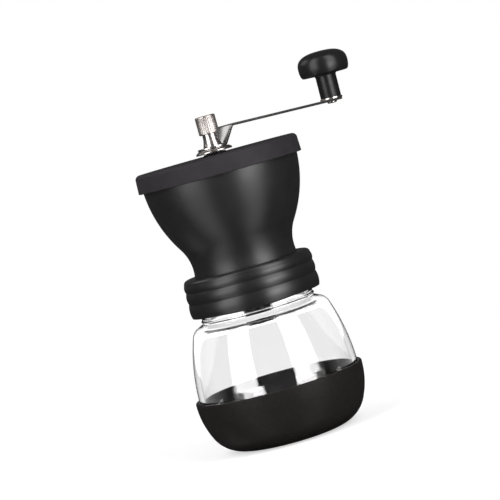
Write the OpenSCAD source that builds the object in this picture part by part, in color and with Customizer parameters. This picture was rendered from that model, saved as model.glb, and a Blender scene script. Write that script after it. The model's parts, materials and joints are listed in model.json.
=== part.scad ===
// Hand crank coffee grinder: a glass jar in a grip sleeve carries a screw-on mill
// with a conical burr set, a lift-off lid and a crank held by a knurled nut.
// The origin is on the axis, in the plane the grinder stands on. +X points along the crank.

/* [Glass jar] */
// Widest diameter of the glass
jar_d = 89.6; // [86:0.2:94]
// Height of the glass from its underside to its rim
jar_h = 89.5; // [84:0.5:96]
// Thickness of the glass wall
glass_t = 2.8; // [2:0.1:3.4]
// Radius of the wall's arc below the belly
jar_foot_r = 42.8; // [38:0.2:46]
// Lean of the wall where it turns into the bottom corner
jar_foot_angle = 25.7; // [22:0.1:29]
// Radius of the outer bottom corner
jar_corner_r = 16.3; // [13:0.1:18]
// Radius of the inner bottom corner, which leaves the floor thick
jar_inner_corner_r = 11; // [9:0.1:12]
// Radius of the flank's arc above the belly
jar_flank_r = 98; // [90:1:106]
// Lean of the flank where it turns into the shoulder
jar_flank_angle = 20; // [18:0.5:21]
// Radius of the shoulder's outer corner
jar_shoulder_r = 5.5; // [4.5:0.1:6.5]
// Outer diameter of the neck
neck_finish_d = 62.6; // [60:0.2:64]
// Wall of the neck
neck_wall = 3.1; // [2.6:0.1:3.4]
// Radius of the bead round the foot of the neck
bead_r = 1.5; // [1:0.1:1.8]
// Gap between the shoulder and the bead
bead_gap = 0.8; // [0.6:0.1:1.5]
// Rounding of the rim's edges
rim_round = 1; // [0.6:0.1:1.3]

/* [Grip sleeve] */
// Thickness of the moulded grip sleeve
sleeve_t = 1.9; // [1.5:0.1:2.4]
// Gap between the sleeve's wall and the glass
sleeve_gap = 0.3; // [0.3:0.05:0.4]
// Height of the sleeve's rim above the belly
sleeve_rise = 2.9; // [2:0.1:5]

/* [Hopper] */
// Largest outer diameter of the hopper
hopper_d = 86.8; // [84:0.2:89]
// Radius of the hopper's convex side
hopper_bulge_r = 71.6; // [66:0.2:80]
// Height from the waist to the widest ring
hopper_rise = 51.2; // [49:0.2:54]
// Height of the straight band above the widest ring
hopper_band = 4.6; // [3.6:0.1:6]
// Diameter of the waist
waist_d = 56.8; // [55.8:0.2:58.4]
// Height of the waist above the collar
waist_rise = 4.3; // [3:0.1:6]
// Wall of the hopper
hopper_wall = 2.4; // [2:0.1:2.8]
// Thickness of the flange that rests on the jar's rim
flange_t = 3; // [2.4:0.1:4]
// Gap between the spigot and the jar's mouth
spigot_gap = 0.6; // [0.4:0.05:0.8]
// Depth of the spigot below the rim
spigot_h = 8; // [7:0.1:10]
// Height of the ledge above the rim
ledge_rise = 4; // [3.4:0.1:4.6]
// Thickness of the ledge at its inner edge
ledge_t = 1.5; // [1:0.1:2]
// Reach of the ledge over the outer burr
ledge_cover = 0.4; // [0:0.1:1]

/* [Bridge and bushes] */
// Height of the bridge's hub above the rim
hub_rise = 16.3; // [15.5:0.1:18]
// Length of the hub
hub_h = 20; // [18:0.5:22]
// Outer diameter of the hub
hub_d = 14; // [13:0.2:16]
// Outer diameter of a bush
bush_d = 10; // [9.4:0.1:10.6]
// Length of a bush inside the hub
bush_h = 7; // [5:0.5:8.5]
// Diameter of a bush's flange
bush_flange_d = 13; // [12:0.2:13.6]
// Thickness of a bush's flange
bush_flange_t = 1.2; // [0.8:0.1:1.6]
// Number of spokes that carry the hub
spoke_count = 3; // [3:1:4]
// Thickness of a spoke
spoke_t = 3; // [2.4:0.1:4]
// Height of a spoke
spoke_h = 13; // [10:0.5:15]

/* [Collar] */
// Height of the threaded collar
collar_h = 21; // [19:0.1:23]
// Wall of the collar at the crest of its lowest rib
collar_wall = 2.9; // [2.5:0.1:3.6]
// Room for the thread between the jar's neck and the collar
thread_room = 2.3; // [2:0.1:2.6]
// Narrowing of the collar's diameter from the lowest rib to the top one
collar_taper = 0.6; // [0:0.1:1.2]
// Number of ribs round the collar
collar_ribs = 3; // [2:1:4]
// Depth of the grooves between the ribs
rib_depth = 0.55; // [0.3:0.05:0.8]
// Radius of the collar's top edge
collar_round = 3.4; // [2.4:0.1:4]
// Thickness of the collar's top
collar_top_t = 3; // [2.4:0.1:3.6]

/* [Lid] */
// Wall of the lid's skirt at its foot
lid_skirt_t = 2.1; // [1.7:0.1:2.6]
// Overall height of the lid
lid_h = 10.3; // [9:0.1:12]
// Thickness of the lid's top
lid_t = 2.2; // [1.8:0.1:2.8]
// Gap between the lid's skirt and the hopper
lid_gap = 0.4; // [0.3:0.05:0.6]
// Draft of the skirt, as a difference of radius
lid_draft = 0.3; // [0.1:0.1:0.5]
// Radius of the lid's top edge
lid_round = 1.6; // [1:0.1:2]
// Depth of the lip that centres the lid
lip_h = 3.2; // [2:0.1:4]
// Thickness of that lip
lip_t = 1.5; // [1:0.1:2]
// Diameter of the boss round the shaft
boss_d = 12.6; // [12:0.1:14]
// Height of the boss above the lid
boss_rise = 1; // [0.6:0.1:1.6]
// Depth of the boss below the lid's top plate
boss_drop = 5; // [3:0.5:8]

/* [Drive shaft] */
// Diameter of the shaft
shaft_d = 7; // [6.6:0.1:7.4]
// Width across the shaft's two flats
flats_w = 5; // [4.6:0.1:5.4]
// Diameter of the threaded ends
stud_d = 5; // [4.4:0.1:5]
// Diameter of the collar that takes the thrust
thrust_d = 11; // [10:0.2:12]
// Thickness of the thrust collar
thrust_t = 1.8; // [1.4:0.1:2.4]
// Diameter of the shoulder under the crank
shoulder_d = 9.2; // [8.6:0.1:9.4]
// Length of that shoulder
shoulder_h = 5; // [4:0.5:7]
// Length of the threaded top end above the flats
top_stud_h = 12.6; // [11:0.1:13]
// Running clearance on radius
running_gap = 0.05; // [0.02:0.01:0.08]
// Fitting clearance on radius between parts that slide by hand
slip_gap = 0.1; // [0.05:0.01:0.2]
// Small clearance between parts that face each other
face_gap = 0.3; // [0.2:0.05:0.5]

/* [Burr set] */
// Outer diameter of the outer burr
outer_burr_d = 45; // [44.4:0.1:45.4]
// Height of the outer burr
outer_burr_h = 18.5; // [17:0.1:18.8]
// Diameter over the inner burr's teeth at its foot
inner_burr_d = 37.2; // [36:0.1:37.6]
// Height of the inner burr
inner_burr_h = 19.5; // [18:0.1:20]
// Diameter over the inner burr's blades at its top
inner_top_d = 18; // [17:0.1:20]
// Drop of the inner burr's foot below the outer burr
burr_drop = 0.6; // [0.3:0.1:1]
// Grinding gap on radius between the two burrs
grind_gap = 0.6; // [0.5:0.05:0.9]
// Height of the bands of fine teeth
fine_h = 5.5; // [4:0.5:7]
// Lean of the fine band's cone
fine_angle = 14; // [10:1:16]
// Number of fine teeth on the inner burr
fine_teeth = 36; // [24:1:42]
// Depth of the fine teeth
fine_depth = 0.7; // [0.4:0.1:0.9]
// Number of blades on the inner burr
blades = 7; // [5:1:9]
// Depth of the channels between the blades
blade_depth = 2.4; // [1.6:0.1:2.8]
// Turn of the blades from foot to top, in degrees
blade_twist = 75; // [40:5:90]
// Number of ribs inside the outer burr
outer_ribs = 9; // [6:1:12]
// Diameter over the ribs at the outer burr's mouth
outer_mouth_d = 34; // [33:0.1:35]
// Depth of the channels between those ribs
outer_rib_depth = 1.4; // [1:0.1:2.4]
// Number of keys that hold the outer burr
key_count = 3; // [2:1:4]
// Width of a key
key_w = 4; // [3:0.1:5]
// Depth of a key
key_depth = 1; // [0.6:0.1:1.2]

/* [Burr housing] */
// Wall of the housing round the outer burr
housing_wall = 1.8; // [1.5:0.1:2]
// Gap between the burr and the housing
burr_gap = 0.2; // [0.1:0.05:0.3]
// Thickness of the lip that carries the outer burr
housing_lip_t = 2; // [1.6:0.1:2.4]
// Width of that lip
housing_lip_w = 2; // [1.4:0.1:2.2]
// Thickness of the housing's flange under the spigot
housing_flange_t = 2.4; // [1.8:0.1:3]
// Number of bayonet lugs
lug_count = 3; // [2:1:4]
// Angle that a lug covers
lug_angle = 22; // [16:1:30]
// Angle from the crank's side to the first lug
lug_start = 10; // [5:1:20]
// Height of a lug
lug_h = 2.4; // [1.8:0.1:3]
// Height of the lugs above the flange
lug_rise = 2.6; // [2:0.1:3]
// Reach of a lug
lug_reach = 1.3; // [0.8:0.1:1.6]

/* [Burr drive and adjuster] */
// Width across the flats of the inner burr's core
core_w = 9; // [8.6:0.1:9.6]
// Diameter of the core's top flange
core_flange_d = 13; // [12:0.1:14]
// Thickness of the core's top flange
core_flange_t = 1; // [0.8:0.1:1.4]
// Room for the core to rise along the shaft's flats
flats_room = 0.7; // [0.5:0.1:1]
// Diameter of the lock plate under the burr
lock_d = 19; // [17:0.2:22]
// Thickness of the lock plate
lock_t = 1.6; // [1:0.1:2]
// Number of notches round the lock plate
lock_notches = 8; // [6:1:10]
// Height of the adjuster nut
adjuster_h = 6; // [5:0.5:11]
// Diameter of the adjuster nut's grip
adjuster_d = 17; // [15:0.2:19]
// Number of grip scallops round the adjuster nut
adjuster_scallops = 8; // [6:1:10]
// Radius of a grip scallop
scallop_r = 2; // [1.4:0.1:2.4]
// Diameter of the adjuster nut's neck
adjuster_neck_d = 12.4; // [11.4:0.2:13.6]
// Height of that neck
adjuster_neck_h = 2.2; // [1.8:0.1:3.6]
// Depth of the relief in that neck, which clears the shaft's flats
adjuster_relief = 1; // [0.8:0.1:1.6]
// Wire diameter of the burr spring
wire_d = 1.2; // [0.8:0.1:1.4]
// Mean diameter of the burr spring
spring_d = 10.4; // [9.8:0.1:11]
// Number of turns of the burr spring
spring_turns = 4; // [3:0.5:4.5]
// Tail of the shaft below the adjuster nut
shaft_tail = 1.2; // [1:0.1:2.4]
// Thickness of the washer above the spring
spring_washer_t = 0.8; // [0.6:0.1:1.2]
// Diameter of that washer
spring_washer_d = 14; // [13:0.1:15]

/* [Crank] */
// Distance from the axis to the knob's pin
crank_r = 96; // [80:1:105]
// Width of the crank's strip
strip_w = 12.3; // [11:0.1:14]
// Thickness of the strip
strip_t = 1.2; // [1:0.1:1.6]
// Diameter of the strip's round end at the shaft
tongue_d = 17; // [16:0.2:20]
// Flat of the strip between the nut's foot and the lower bend
bend_clear = 0.2; // [0.1:0.1:0.8]
// Run of the strip between the two bends
strip_run = 7; // [6:0.1:9]
// Rise of the strip between the two bends
strip_rise = 9.4; // [8:0.1:10]
// Fall of the strip from the upper bend outwards, in degrees
droop = 1.5; // [0:0.1:3]
// Inner radius of the bends
bend_r = 1; // [0.8:0.1:1.2]
// Diameter of the hub washer's foot
hub_washer_d = 20.2; // [18:0.2:22]
// Height of the hub washer
hub_washer_h = 2; // [1.6:0.1:2.6]
// Thickness of the hub washer's edge
hub_washer_edge = 0.9; // [0.6:0.1:1.2]

/* [Handle nut] */
// Diameter of the knurled cap
cap_d = 11.2; // [11:0.1:13]
// Height of the knurled cap
cap_h = 10.2; // [9:0.1:11]
// Diameter of the nut's waist
nut_waist_d = 7.4; // [7.2:0.1:9]
// Height of the flared foot below the cap
nut_foot_h = 7; // [6:0.1:8]
// Diameter of the nut's foot
nut_foot_d = 10.4; // [9.8:0.1:12]
// Thickness of the crown above the bore
nut_crown = 3.6; // [3:0.1:5]
// Number of grooves of the knurl
knurl_count = 30; // [20:2:36]
// Depth of the knurl
knurl_depth = 0.3; // [0.2:0.05:0.4]

/* [Knob] */
// Diameter of the knob's head
knob_d = 29; // [26:0.5:32]
// Height of the knob's head
knob_head_h = 13.6; // [12:0.1:15]
// Height of the widest ring above the head's underside
knob_wide_h = 5.2; // [4.5:0.1:6]
// Diameter of the head's underside
knob_under_d = 25.4; // [23:0.1:25.6]
// Diameter of the knob's stem
knob_stem_d = 11.9; // [11:0.1:13]
// Height of the knob's stem
knob_stem_h = 13.8; // [11:0.1:15]
// Radius of the fillet between stem and head
knob_fillet = 1.4; // [0.8:0.1:2]
// Diameter of the knob's pin
pin_d = 5; // [4.4:0.1:5.4]
// Depth that the pin reaches into the knob
pin_reach = 20; // [16:0.5:21]
// Diameter of the pin's riveted head under the strip
rivet_d = 5.6; // [5.2:0.1:6.4]
// Height of that head
rivet_h = 1; // [0.6:0.1:1.4]
// Diameter of the washer under the knob
knob_washer_d = 13; // [12:0.1:14]
// Thickness of the washer under the knob
knob_washer_t = 1; // [0.6:0.1:1.4]

/* [Hidden] */
$fn = 96;

// Heights of the jar. The sleeve's underside is the plane z = 0.
jar_r = jar_d / 2;
corner_drop = (jar_foot_r - jar_corner_r) * sin(jar_foot_angle);
sleeve_skin = sleeve_t + sleeve_gap;
belly_z = sleeve_skin + jar_corner_r + corner_drop;
jar_base_z = sleeve_skin;
rim_z = jar_base_z + jar_h;
foot_x = jar_r - jar_foot_r;
flank_x = jar_r - jar_flank_r;
corner_x = foot_x + (jar_foot_r - jar_corner_r) * cos(jar_foot_angle);
corner_z = belly_z - corner_drop;
shoulder_x = flank_x + (jar_flank_r - jar_shoulder_r) * cos(jar_flank_angle);
shoulder_z = belly_z + (jar_flank_r - jar_shoulder_r) * sin(jar_flank_angle);
shoulder_top = shoulder_z + jar_shoulder_r;
finish_r = neck_finish_d / 2;
mouth_r = finish_r - neck_wall;

// Heights of the mill
flange_top = rim_z + flange_t;
collar_bore_r = finish_r + thread_room;
collar_r = collar_bore_r + collar_wall;
flange_r = collar_bore_r - face_gap;
collar_top = flange_top + collar_top_t;
collar_foot = collar_top - collar_h;
waist_z = collar_top + waist_rise;
bulge_z = waist_z + hopper_rise;
hopper_top = bulge_z + hopper_band;
hopper_r = hopper_d / 2;
waist_r = waist_d / 2;
bulge_x = hopper_r - hopper_bulge_r;
// The waist's arc is tangent to the bulge's arc
waist_gap_x = waist_r - bulge_x;
waist_arc_r = (pow(waist_gap_x, 2) + pow(hopper_rise, 2) - pow(hopper_bulge_r, 2))
    / (2 * (hopper_bulge_r - waist_gap_x));
waist_x = waist_r + waist_arc_r;
tangent_angle = atan2(hopper_rise, waist_x - bulge_x);
collar_arc_angle = asin(waist_rise / waist_arc_r);
neck_r = waist_x - waist_arc_r * cos(collar_arc_angle);
spigot_r = mouth_r - spigot_gap;
spigot_foot = rim_z - spigot_h;
ledge_z = rim_z + ledge_rise;
funnel_r = waist_r - hopper_wall;
ledge_bore_r = outer_burr_d / 2 - ledge_cover;
funnel_h = funnel_r - ledge_bore_r;

// Bridge
hub_z = rim_z + hub_rise;
hub_top = hub_z + hub_h;
spoke_z = hub_z + (hub_h - spoke_h) / 2;
shaft_r = shaft_d / 2;
bush_bore_r = shaft_r + running_gap;

// Burr set
burr_r = outer_burr_d / 2;
housing_r = burr_r + burr_gap + housing_wall;
housing_bore_r = burr_r + burr_gap;
housing_top = ledge_z;
outer_burr_z = housing_top - face_gap - outer_burr_h;
housing_foot = outer_burr_z - housing_lip_t;
spigot_bore_r = housing_r + face_gap;
inner_burr_z = outer_burr_z - burr_drop;
burr_foot_r = inner_burr_d / 2;
fine_top_r = burr_foot_r - fine_h * tan(fine_angle);
outer_foot_r = burr_foot_r + grind_gap - burr_drop * tan(fine_angle);
outer_fine_h = fine_h - burr_drop;
outer_fine_top_r = fine_top_r + grind_gap;
core_top = inner_burr_z + inner_burr_h;
spring_z = core_top + core_flange_t;
spring_top = hub_z - bush_flange_t - spring_washer_t;
lock_z = inner_burr_z - lock_t;
adjuster_z = lock_z - adjuster_h;
lug_z = spigot_foot + lug_rise;

// Drive shaft and lid
lid_r = hopper_r + lid_gap + lid_skirt_t;
lid_top = hopper_top + lid_t;
lid_foot = lid_top - lid_h;
boss_top = lid_top + boss_rise;
hub_washer_z = boss_top + face_gap;
shaft_foot = adjuster_z - shaft_tail;
low_flats_z = lock_z - face_gap;
high_flats_z = spring_z + flats_room;
thrust_z = hub_top + bush_flange_t;

// Crank, from the strip's underside upwards
strip_z = hub_washer_z + hub_washer_h;
strip_top = strip_z + strip_t;
top_flats_z = strip_top - face_gap;
nut_bore_h = nut_foot_h + cap_h - nut_crown;
slope_angle = atan2(strip_rise, strip_run);
lower_bend_x = nut_foot_d / 2 + bend_clear + bend_r * tan(slope_angle / 2);
upper_bend_x = lower_bend_x + strip_run;
knob_drop = (crank_r - upper_bend_x) * tan(droop);
knob_z = strip_z + strip_rise - knob_drop;

// Points of an arc round [cx, cz], from angle a0 to a1
function arc(cx, cz, r, a0, a1, steps = 10) =
    [for (i = [0:steps]) let (a = a0 + (a1 - a0) * i / steps) [cx + r * cos(a), cz + r * sin(a)]];

// Joins stretches of an outline and drops points that coincide
function joined(stretches) =
    let (all = [for (s = stretches) each s], n = len(all))
    [for (i = [0:n - 1]) if (norm(all[i] - all[(i + n - 1) % n]) > 0.001) all[i]];

// Turns an outline, given as its stretches, about the Z axis
module turned(stretches) {
    rotate_extrude() polygon(joined(stretches));
}

// Upright tube
module tube(r, bore, z, h) {
    turned([[[bore, z], [r, z], [r, z + h], [bore, z + h]]]);
}

// Round bar with two flats, as the shaft has at both driven ends
module flatted_bar(r, w, z, h) {
    intersection() {
        translate([0, 0, z]) cylinder(r = r, h = h);
        translate([-2 * r, -w / 2, z]) cube([4 * r, w, h]);
    }
}

// The hole that fits over the flatted bar
module flatted_hole(z, h) {
    flatted_bar(shaft_r + slip_gap, flats_w + 2 * slip_gap, z, h);
}

// Hexagonal bar of a width across its flats
module hex_bar(w, z, h) {
    translate([0, 0, z]) cylinder(d = w / cos(30), h = h, $fn = 6);
}

// Copies of a shape in a ring
module ring(count) {
    for (i = [0:count - 1]) rotate([0, 0, i * 360 / count]) children();
}

// Outline with count teeth between radius r - depth and r. flat_part is the crest's share of a tooth
// and lean shifts the crest towards one side, as on a cutting blade.
function toothed(r, depth, count, flat_part, lean) =
    let (pitch = 360 / count, half = flat_part / 2)
    [for (i = [0:count - 1])
        each [for (p = [[0, 1], [0.5 + lean - half, 0], [0.5 + lean + half, 0]])
            let (a = (i + p[0]) * pitch, d = p[1] * depth) (r - d) * [cos(a), sin(a)]]];

// A tapered, twisted band of teeth
module toothed_band(z, h, foot_r, top_r, depth, count, flat_part, lean, twist, slices) {
    translate([0, 0, z])
        linear_extrude(height = h, twist = twist, scale = top_r / foot_r, slices = slices)
            polygon(toothed(foot_r, depth, count, flat_part, lean));
}

module glass_jar() {
    wall = jar_foot_r - glass_t;
    flank = jar_flank_r - glass_t;
    inner_x = foot_x + (wall - jar_inner_corner_r) * cos(jar_foot_angle);
    inner_z = belly_z - (wall - jar_inner_corner_r) * sin(jar_foot_angle);
    throat_z = shoulder_top - glass_t;
    color([0.85, 0.92, 0.92, 0.35]) turned([
        [[0, jar_base_z]],
        arc(corner_x, corner_z, jar_corner_r, -90, -jar_foot_angle),
        arc(foot_x, belly_z, jar_foot_r, -jar_foot_angle, 0),
        arc(flank_x, belly_z, jar_flank_r, 0, jar_flank_angle),
        arc(shoulder_x, shoulder_z, jar_shoulder_r, jar_flank_angle, 90),
        [[finish_r, shoulder_top], [finish_r, shoulder_top + bead_gap]],
        arc(finish_r, shoulder_top + bead_gap + bead_r, bead_r, -90, 90),
        arc(finish_r - rim_round, rim_z - rim_round, rim_round, 0, 90, 5),
        arc(mouth_r + rim_round, rim_z - rim_round, rim_round, 90, 180, 5),
        arc(mouth_r + glass_t, throat_z + glass_t, glass_t, 180, 270, 6),
        arc(shoulder_x, shoulder_z, jar_shoulder_r - glass_t, 90, jar_flank_angle),
        arc(flank_x, belly_z, flank, jar_flank_angle, 0),
        arc(foot_x, belly_z, wall, 0, -jar_foot_angle),
        arc(inner_x, inner_z, jar_inner_corner_r, -jar_foot_angle, -90),
        [[0, inner_z - jar_inner_corner_r]]
    ]);
}

module grip_sleeve() {
    outer_r = jar_r + sleeve_skin;
    inner_r = jar_r + sleeve_gap;
    rim = belly_z + sleeve_rise;
    half_t = sleeve_t / 2;
    pad_r = corner_x - 2;
    color([0.2, 0.17, 0.16]) turned([
        [[0, 0]],
        arc(corner_x, corner_z, jar_corner_r + sleeve_skin, -90, -jar_foot_angle),
        arc(foot_x, belly_z, jar_foot_r + sleeve_skin, -jar_foot_angle, 0),
        arc((outer_r + inner_r) / 2, rim - half_t, half_t, 0, 180, 8),
        arc(foot_x, belly_z, jar_foot_r + sleeve_gap, 0, -jar_foot_angle),
        arc(corner_x, corner_z, jar_corner_r + sleeve_gap, -jar_foot_angle, -90),
        [[pad_r, sleeve_t], [pad_r - sleeve_gap, jar_base_z], [0, jar_base_z]]
    ]);
}

// Outer side of the hopper, from the collar to its rim, moved inwards by inset
function hopper_side(inset, foot_angle) = concat(
    arc(waist_x, waist_z, waist_arc_r + inset, 180 + foot_angle, 180 - tangent_angle),
    arc(bulge_x, bulge_z, hopper_bulge_r - inset, -tangent_angle, 0),
    [[hopper_r - inset, hopper_top]]);

function reversed(points) = [for (i = [len(points) - 1:-1:0]) points[i]];

module hopper_shell() {
    turned([
        [[spigot_bore_r, spigot_foot], [spigot_r, spigot_foot], [spigot_r, rim_z]],
        [[flange_r, rim_z], [flange_r, flange_top], [neck_r, flange_top]],
        hopper_side(0, collar_arc_angle),
        [[hopper_r - hopper_wall, hopper_top]],
        reversed(hopper_side(hopper_wall, 0)),
        [[funnel_r, ledge_z + ledge_t + funnel_h], [ledge_bore_r, ledge_z + ledge_t]],
        [[ledge_bore_r, ledge_z], [spigot_bore_r, ledge_z]]
    ]);
}

// One L-shaped slot of the bayonet: an entry from below and a run to the side
module bayonet_slot() {
    reach = housing_r + lug_reach + face_gap;
    clear = 3;
    rotate([0, 0, -lug_angle - 2 * clear])
        rotate_extrude(angle = lug_angle + 2 * clear)
            translate([housing_r, spigot_foot - 1])
                square([reach - housing_r, lug_rise + lug_h + face_gap + 1]);
    rotate([0, 0, -2 * clear])
        rotate_extrude(angle = lug_angle + 3 * clear)
            translate([housing_r, lug_z - face_gap / 2])
                square([reach - housing_r, lug_h + face_gap]);
}

module hopper() {
    color([0.16, 0.16, 0.165]) difference() {
        union() {
            hopper_shell();
            translate([0, 0, hub_z]) cylinder(d = hub_d, h = hub_h);
            intersection() {
                ring(spoke_count)
                    translate([0, -spoke_t / 2, spoke_z]) cube([hopper_r, spoke_t, spoke_h]);
                turned([
                    [[0, waist_z]],
                    hopper_side(hopper_wall / 2, 0),
                    [[0, hopper_top]]
                ]);
            }
        }
        translate([0, 0, hub_z - 1]) cylinder(d = bush_d, h = hub_h + 2);
        ring(lug_count) rotate([0, 0, lug_start]) bayonet_slot();
    }
}

module thread_collar() {
    ribs_h = collar_h - collar_round;
    pitch = ribs_h / collar_ribs;
    rib_r = (pow(pitch / 2, 2) + pow(rib_depth, 2)) / (2 * rib_depth);
    rib_angle = asin(pitch / 2 / rib_r);
    taper = collar_taper / 2;
    top_r = collar_r - taper;
    color([0.15, 0.15, 0.155]) turned([
        for (i = [0:collar_ribs - 1])
            let (crest = collar_r - taper * i / (collar_ribs - 1))
                arc(crest - rib_r, collar_foot + (i + 0.5) * pitch, rib_r, -rib_angle, rib_angle, 6),
        arc(top_r - rib_depth - collar_round, collar_top - collar_round, collar_round, 0, 90, 8),
        [[neck_r + slip_gap, collar_top], [neck_r + slip_gap, flange_top]],
        [[collar_bore_r, flange_top], [collar_bore_r, collar_foot]]
    ]);
}

// A flanged bush, built with its flange upwards from z = 0
module bush() {
    turned([[[bush_bore_r, -bush_h], [bush_d / 2, -bush_h], [bush_d / 2, 0], [bush_flange_d / 2, 0],
        [bush_flange_d / 2, bush_flange_t], [bush_bore_r, bush_flange_t]]]);
}

module upper_bush() {
    color([0.75, 0.6, 0.35]) translate([0, 0, hub_top]) bush();
}

module lower_bush() {
    color([0.75, 0.6, 0.35]) translate([0, 0, hub_z]) mirror([0, 0, 1]) bush();
}

module burr_housing() {
    lip_r = burr_r - housing_lip_w;
    flange_foot = spigot_foot - housing_flange_t;
    color([0.22, 0.22, 0.23]) union() {
        turned([
            [[lip_r, housing_foot], [housing_r, housing_foot], [housing_r, flange_foot]],
            [[spigot_r, flange_foot], [spigot_r, spigot_foot], [housing_r, spigot_foot]],
            [[housing_r, housing_top], [housing_bore_r, housing_top]],
            [[housing_bore_r, outer_burr_z], [lip_r, outer_burr_z]]
        ]);
        ring(lug_count) rotate([0, 0, lug_start]) rotate_extrude(angle = lug_angle)
            translate([housing_r - housing_wall / 2, lug_z])
                square([housing_wall / 2 + lug_reach, lug_h]);
        ring(key_count) translate([housing_bore_r - key_depth, -key_w / 2, outer_burr_z - housing_lip_t / 2])
            cube([key_depth + housing_wall / 2, key_w, outer_burr_h / 2]);
    }
}

module outer_burr() {
    rib_z = outer_burr_z + outer_fine_h;
    rib_h = outer_burr_h - outer_fine_h;
    slot_w = key_w + 2 * slip_gap;
    color([0.9, 0.89, 0.85]) difference() {
        translate([0, 0, outer_burr_z]) cylinder(r = burr_r, h = outer_burr_h);
        toothed_band(outer_burr_z - 0.01, outer_fine_h + 0.02, outer_foot_r + fine_depth,
            outer_fine_top_r + fine_depth, fine_depth, fine_teeth + 4, 0.2, 0.2, -9, 2);
        toothed_band(rib_z, rib_h + 0.01, outer_fine_top_r + outer_rib_depth,
            outer_mouth_d / 2 + outer_rib_depth / 2, outer_rib_depth, outer_ribs, 0.45, 0.1, 30, 6);
        ring(key_count) translate([housing_bore_r - key_depth - slip_gap, -slot_w / 2, outer_burr_z - 1])
            cube([2 * key_depth, slot_w, outer_burr_h / 2 + 1]);
    }
}

module inner_burr() {
    blade_z = inner_burr_z + fine_h;
    color([0.92, 0.91, 0.87]) difference() {
        union() {
            toothed_band(inner_burr_z, fine_h, burr_foot_r, fine_top_r,
                fine_depth, fine_teeth, 0.2, 0.2, 10, 2);
            toothed_band(blade_z, inner_burr_h - fine_h, fine_top_r, inner_top_d / 2,
                blade_depth, blades, 0.3, 0.1, -blade_twist, 10);
        }
        hex_bar(core_w + 2 * slip_gap, inner_burr_z - 1, inner_burr_h + 2);
    }
}

module burr_core() {
    color([0.3, 0.3, 0.31]) difference() {
        union() {
            hex_bar(core_w, inner_burr_z, inner_burr_h + core_flange_t / 2);
            translate([0, 0, core_top]) cylinder(d = core_flange_d, h = core_flange_t);
        }
        flatted_hole(inner_burr_z - 1, inner_burr_h + core_flange_t + 2);
    }
}

module lock_plate() {
    color([0.72, 0.72, 0.73]) difference() {
        translate([0, 0, lock_z]) cylinder(d = lock_d, h = lock_t);
        flatted_hole(lock_z - 1, lock_t + 2);
        ring(lock_notches) translate([lock_d / 2, 0, lock_z - 1]) cylinder(r = lock_t / 2, h = lock_t + 2);
    }
}

module adjuster_nut() {
    color([0.2, 0.2, 0.21]) difference() {
        union() {
            translate([0, 0, adjuster_z]) cylinder(d = adjuster_d, h = adjuster_h - adjuster_neck_h);
            translate([0, 0, adjuster_z]) cylinder(d = adjuster_neck_d, h = adjuster_h);
        }
        translate([0, 0, adjuster_z - 1]) cylinder(r = stud_d / 2 + running_gap, h = adjuster_h + 2);
        translate([0, 0, lock_z - adjuster_relief])
            cylinder(r = shaft_r + face_gap, h = adjuster_relief + 1);
        ring(adjuster_scallops) translate([adjuster_d / 2 + scallop_r / 3, 0, adjuster_z - 1])
            cylinder(r = scallop_r, h = adjuster_h - adjuster_neck_h + 1);
    }
}

// Helical sweep of a round wire, as one closed body
module helix(mean_r, wire_r, z0, z1, turns, sides = 6, per_turn = 14) {
    rings = round(turns * per_turn);
    lift = (z1 - z0 - 2 * wire_r) / rings;
    points = [for (i = [0:rings], k = [0:sides - 1])
        let (a = i * 360 * turns / rings, b = k * 360 / sides, r = mean_r + wire_r * cos(b))
            [r * cos(a), r * sin(a), z0 + wire_r + i * lift + wire_r * sin(b)]];
    sides_quads = [for (i = [0:rings - 1], k = [0:sides - 1])
        let (n = (k + 1) % sides)
            [i * sides + k, (i + 1) * sides + k, (i + 1) * sides + n, i * sides + n]];
    polyhedron(points, concat(sides_quads, [[for (k = [0:sides - 1]) k]],
        [[for (k = [sides - 1:-1:0]) rings * sides + k]]));
}

module burr_spring() {
    color([0.75, 0.75, 0.76]) helix(spring_d / 2, wire_d / 2, spring_z, spring_top, spring_turns);
}

module spring_washer() {
    color([0.78, 0.78, 0.79]) tube(spring_washer_d / 2, shaft_r + slip_gap, spring_top, spring_washer_t);
}

module lid() {
    top_r = lid_r - lid_draft;
    skirt_r = hopper_r + lid_gap;
    lip_r = hopper_r - hopper_wall - lid_gap;
    lid_bore = shoulder_d / 2 + face_gap;
    boss_r = boss_d / 2;
    color([0.26, 0.25, 0.25]) turned([
        [[lid_bore, boss_top], [lid_bore, hopper_top - boss_drop], [boss_r, hopper_top - boss_drop]],
        [[boss_r, hopper_top], [lip_r - lip_t, hopper_top], [lip_r - lip_t, hopper_top - lip_h]],
        [[lip_r, hopper_top - lip_h], [lip_r, hopper_top], [skirt_r, hopper_top]],
        [[skirt_r, lid_foot], [lid_r, lid_foot]],
        arc(top_r - lid_round, lid_top - lid_round, lid_round, 0, 90, 6),
        [[boss_r, lid_top], [boss_r, boss_top]]
    ]);
}

module drive_shaft() {
    color([0.75, 0.75, 0.76]) union() {
        translate([0, 0, shaft_foot]) cylinder(d = stud_d, h = low_flats_z - shaft_foot);
        flatted_bar(shaft_r, flats_w, low_flats_z, high_flats_z - low_flats_z);
        translate([0, 0, high_flats_z]) cylinder(r = shaft_r, h = hub_washer_z - high_flats_z);
        translate([0, 0, thrust_z]) cylinder(d = thrust_d, h = thrust_t);
        translate([0, 0, hub_washer_z - shoulder_h]) cylinder(d = shoulder_d, h = shoulder_h);
        flatted_bar(shaft_r, flats_w, hub_washer_z, top_flats_z - hub_washer_z);
        translate([0, 0, top_flats_z]) cylinder(d = stud_d, h = top_stud_h);
    }
}

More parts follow.
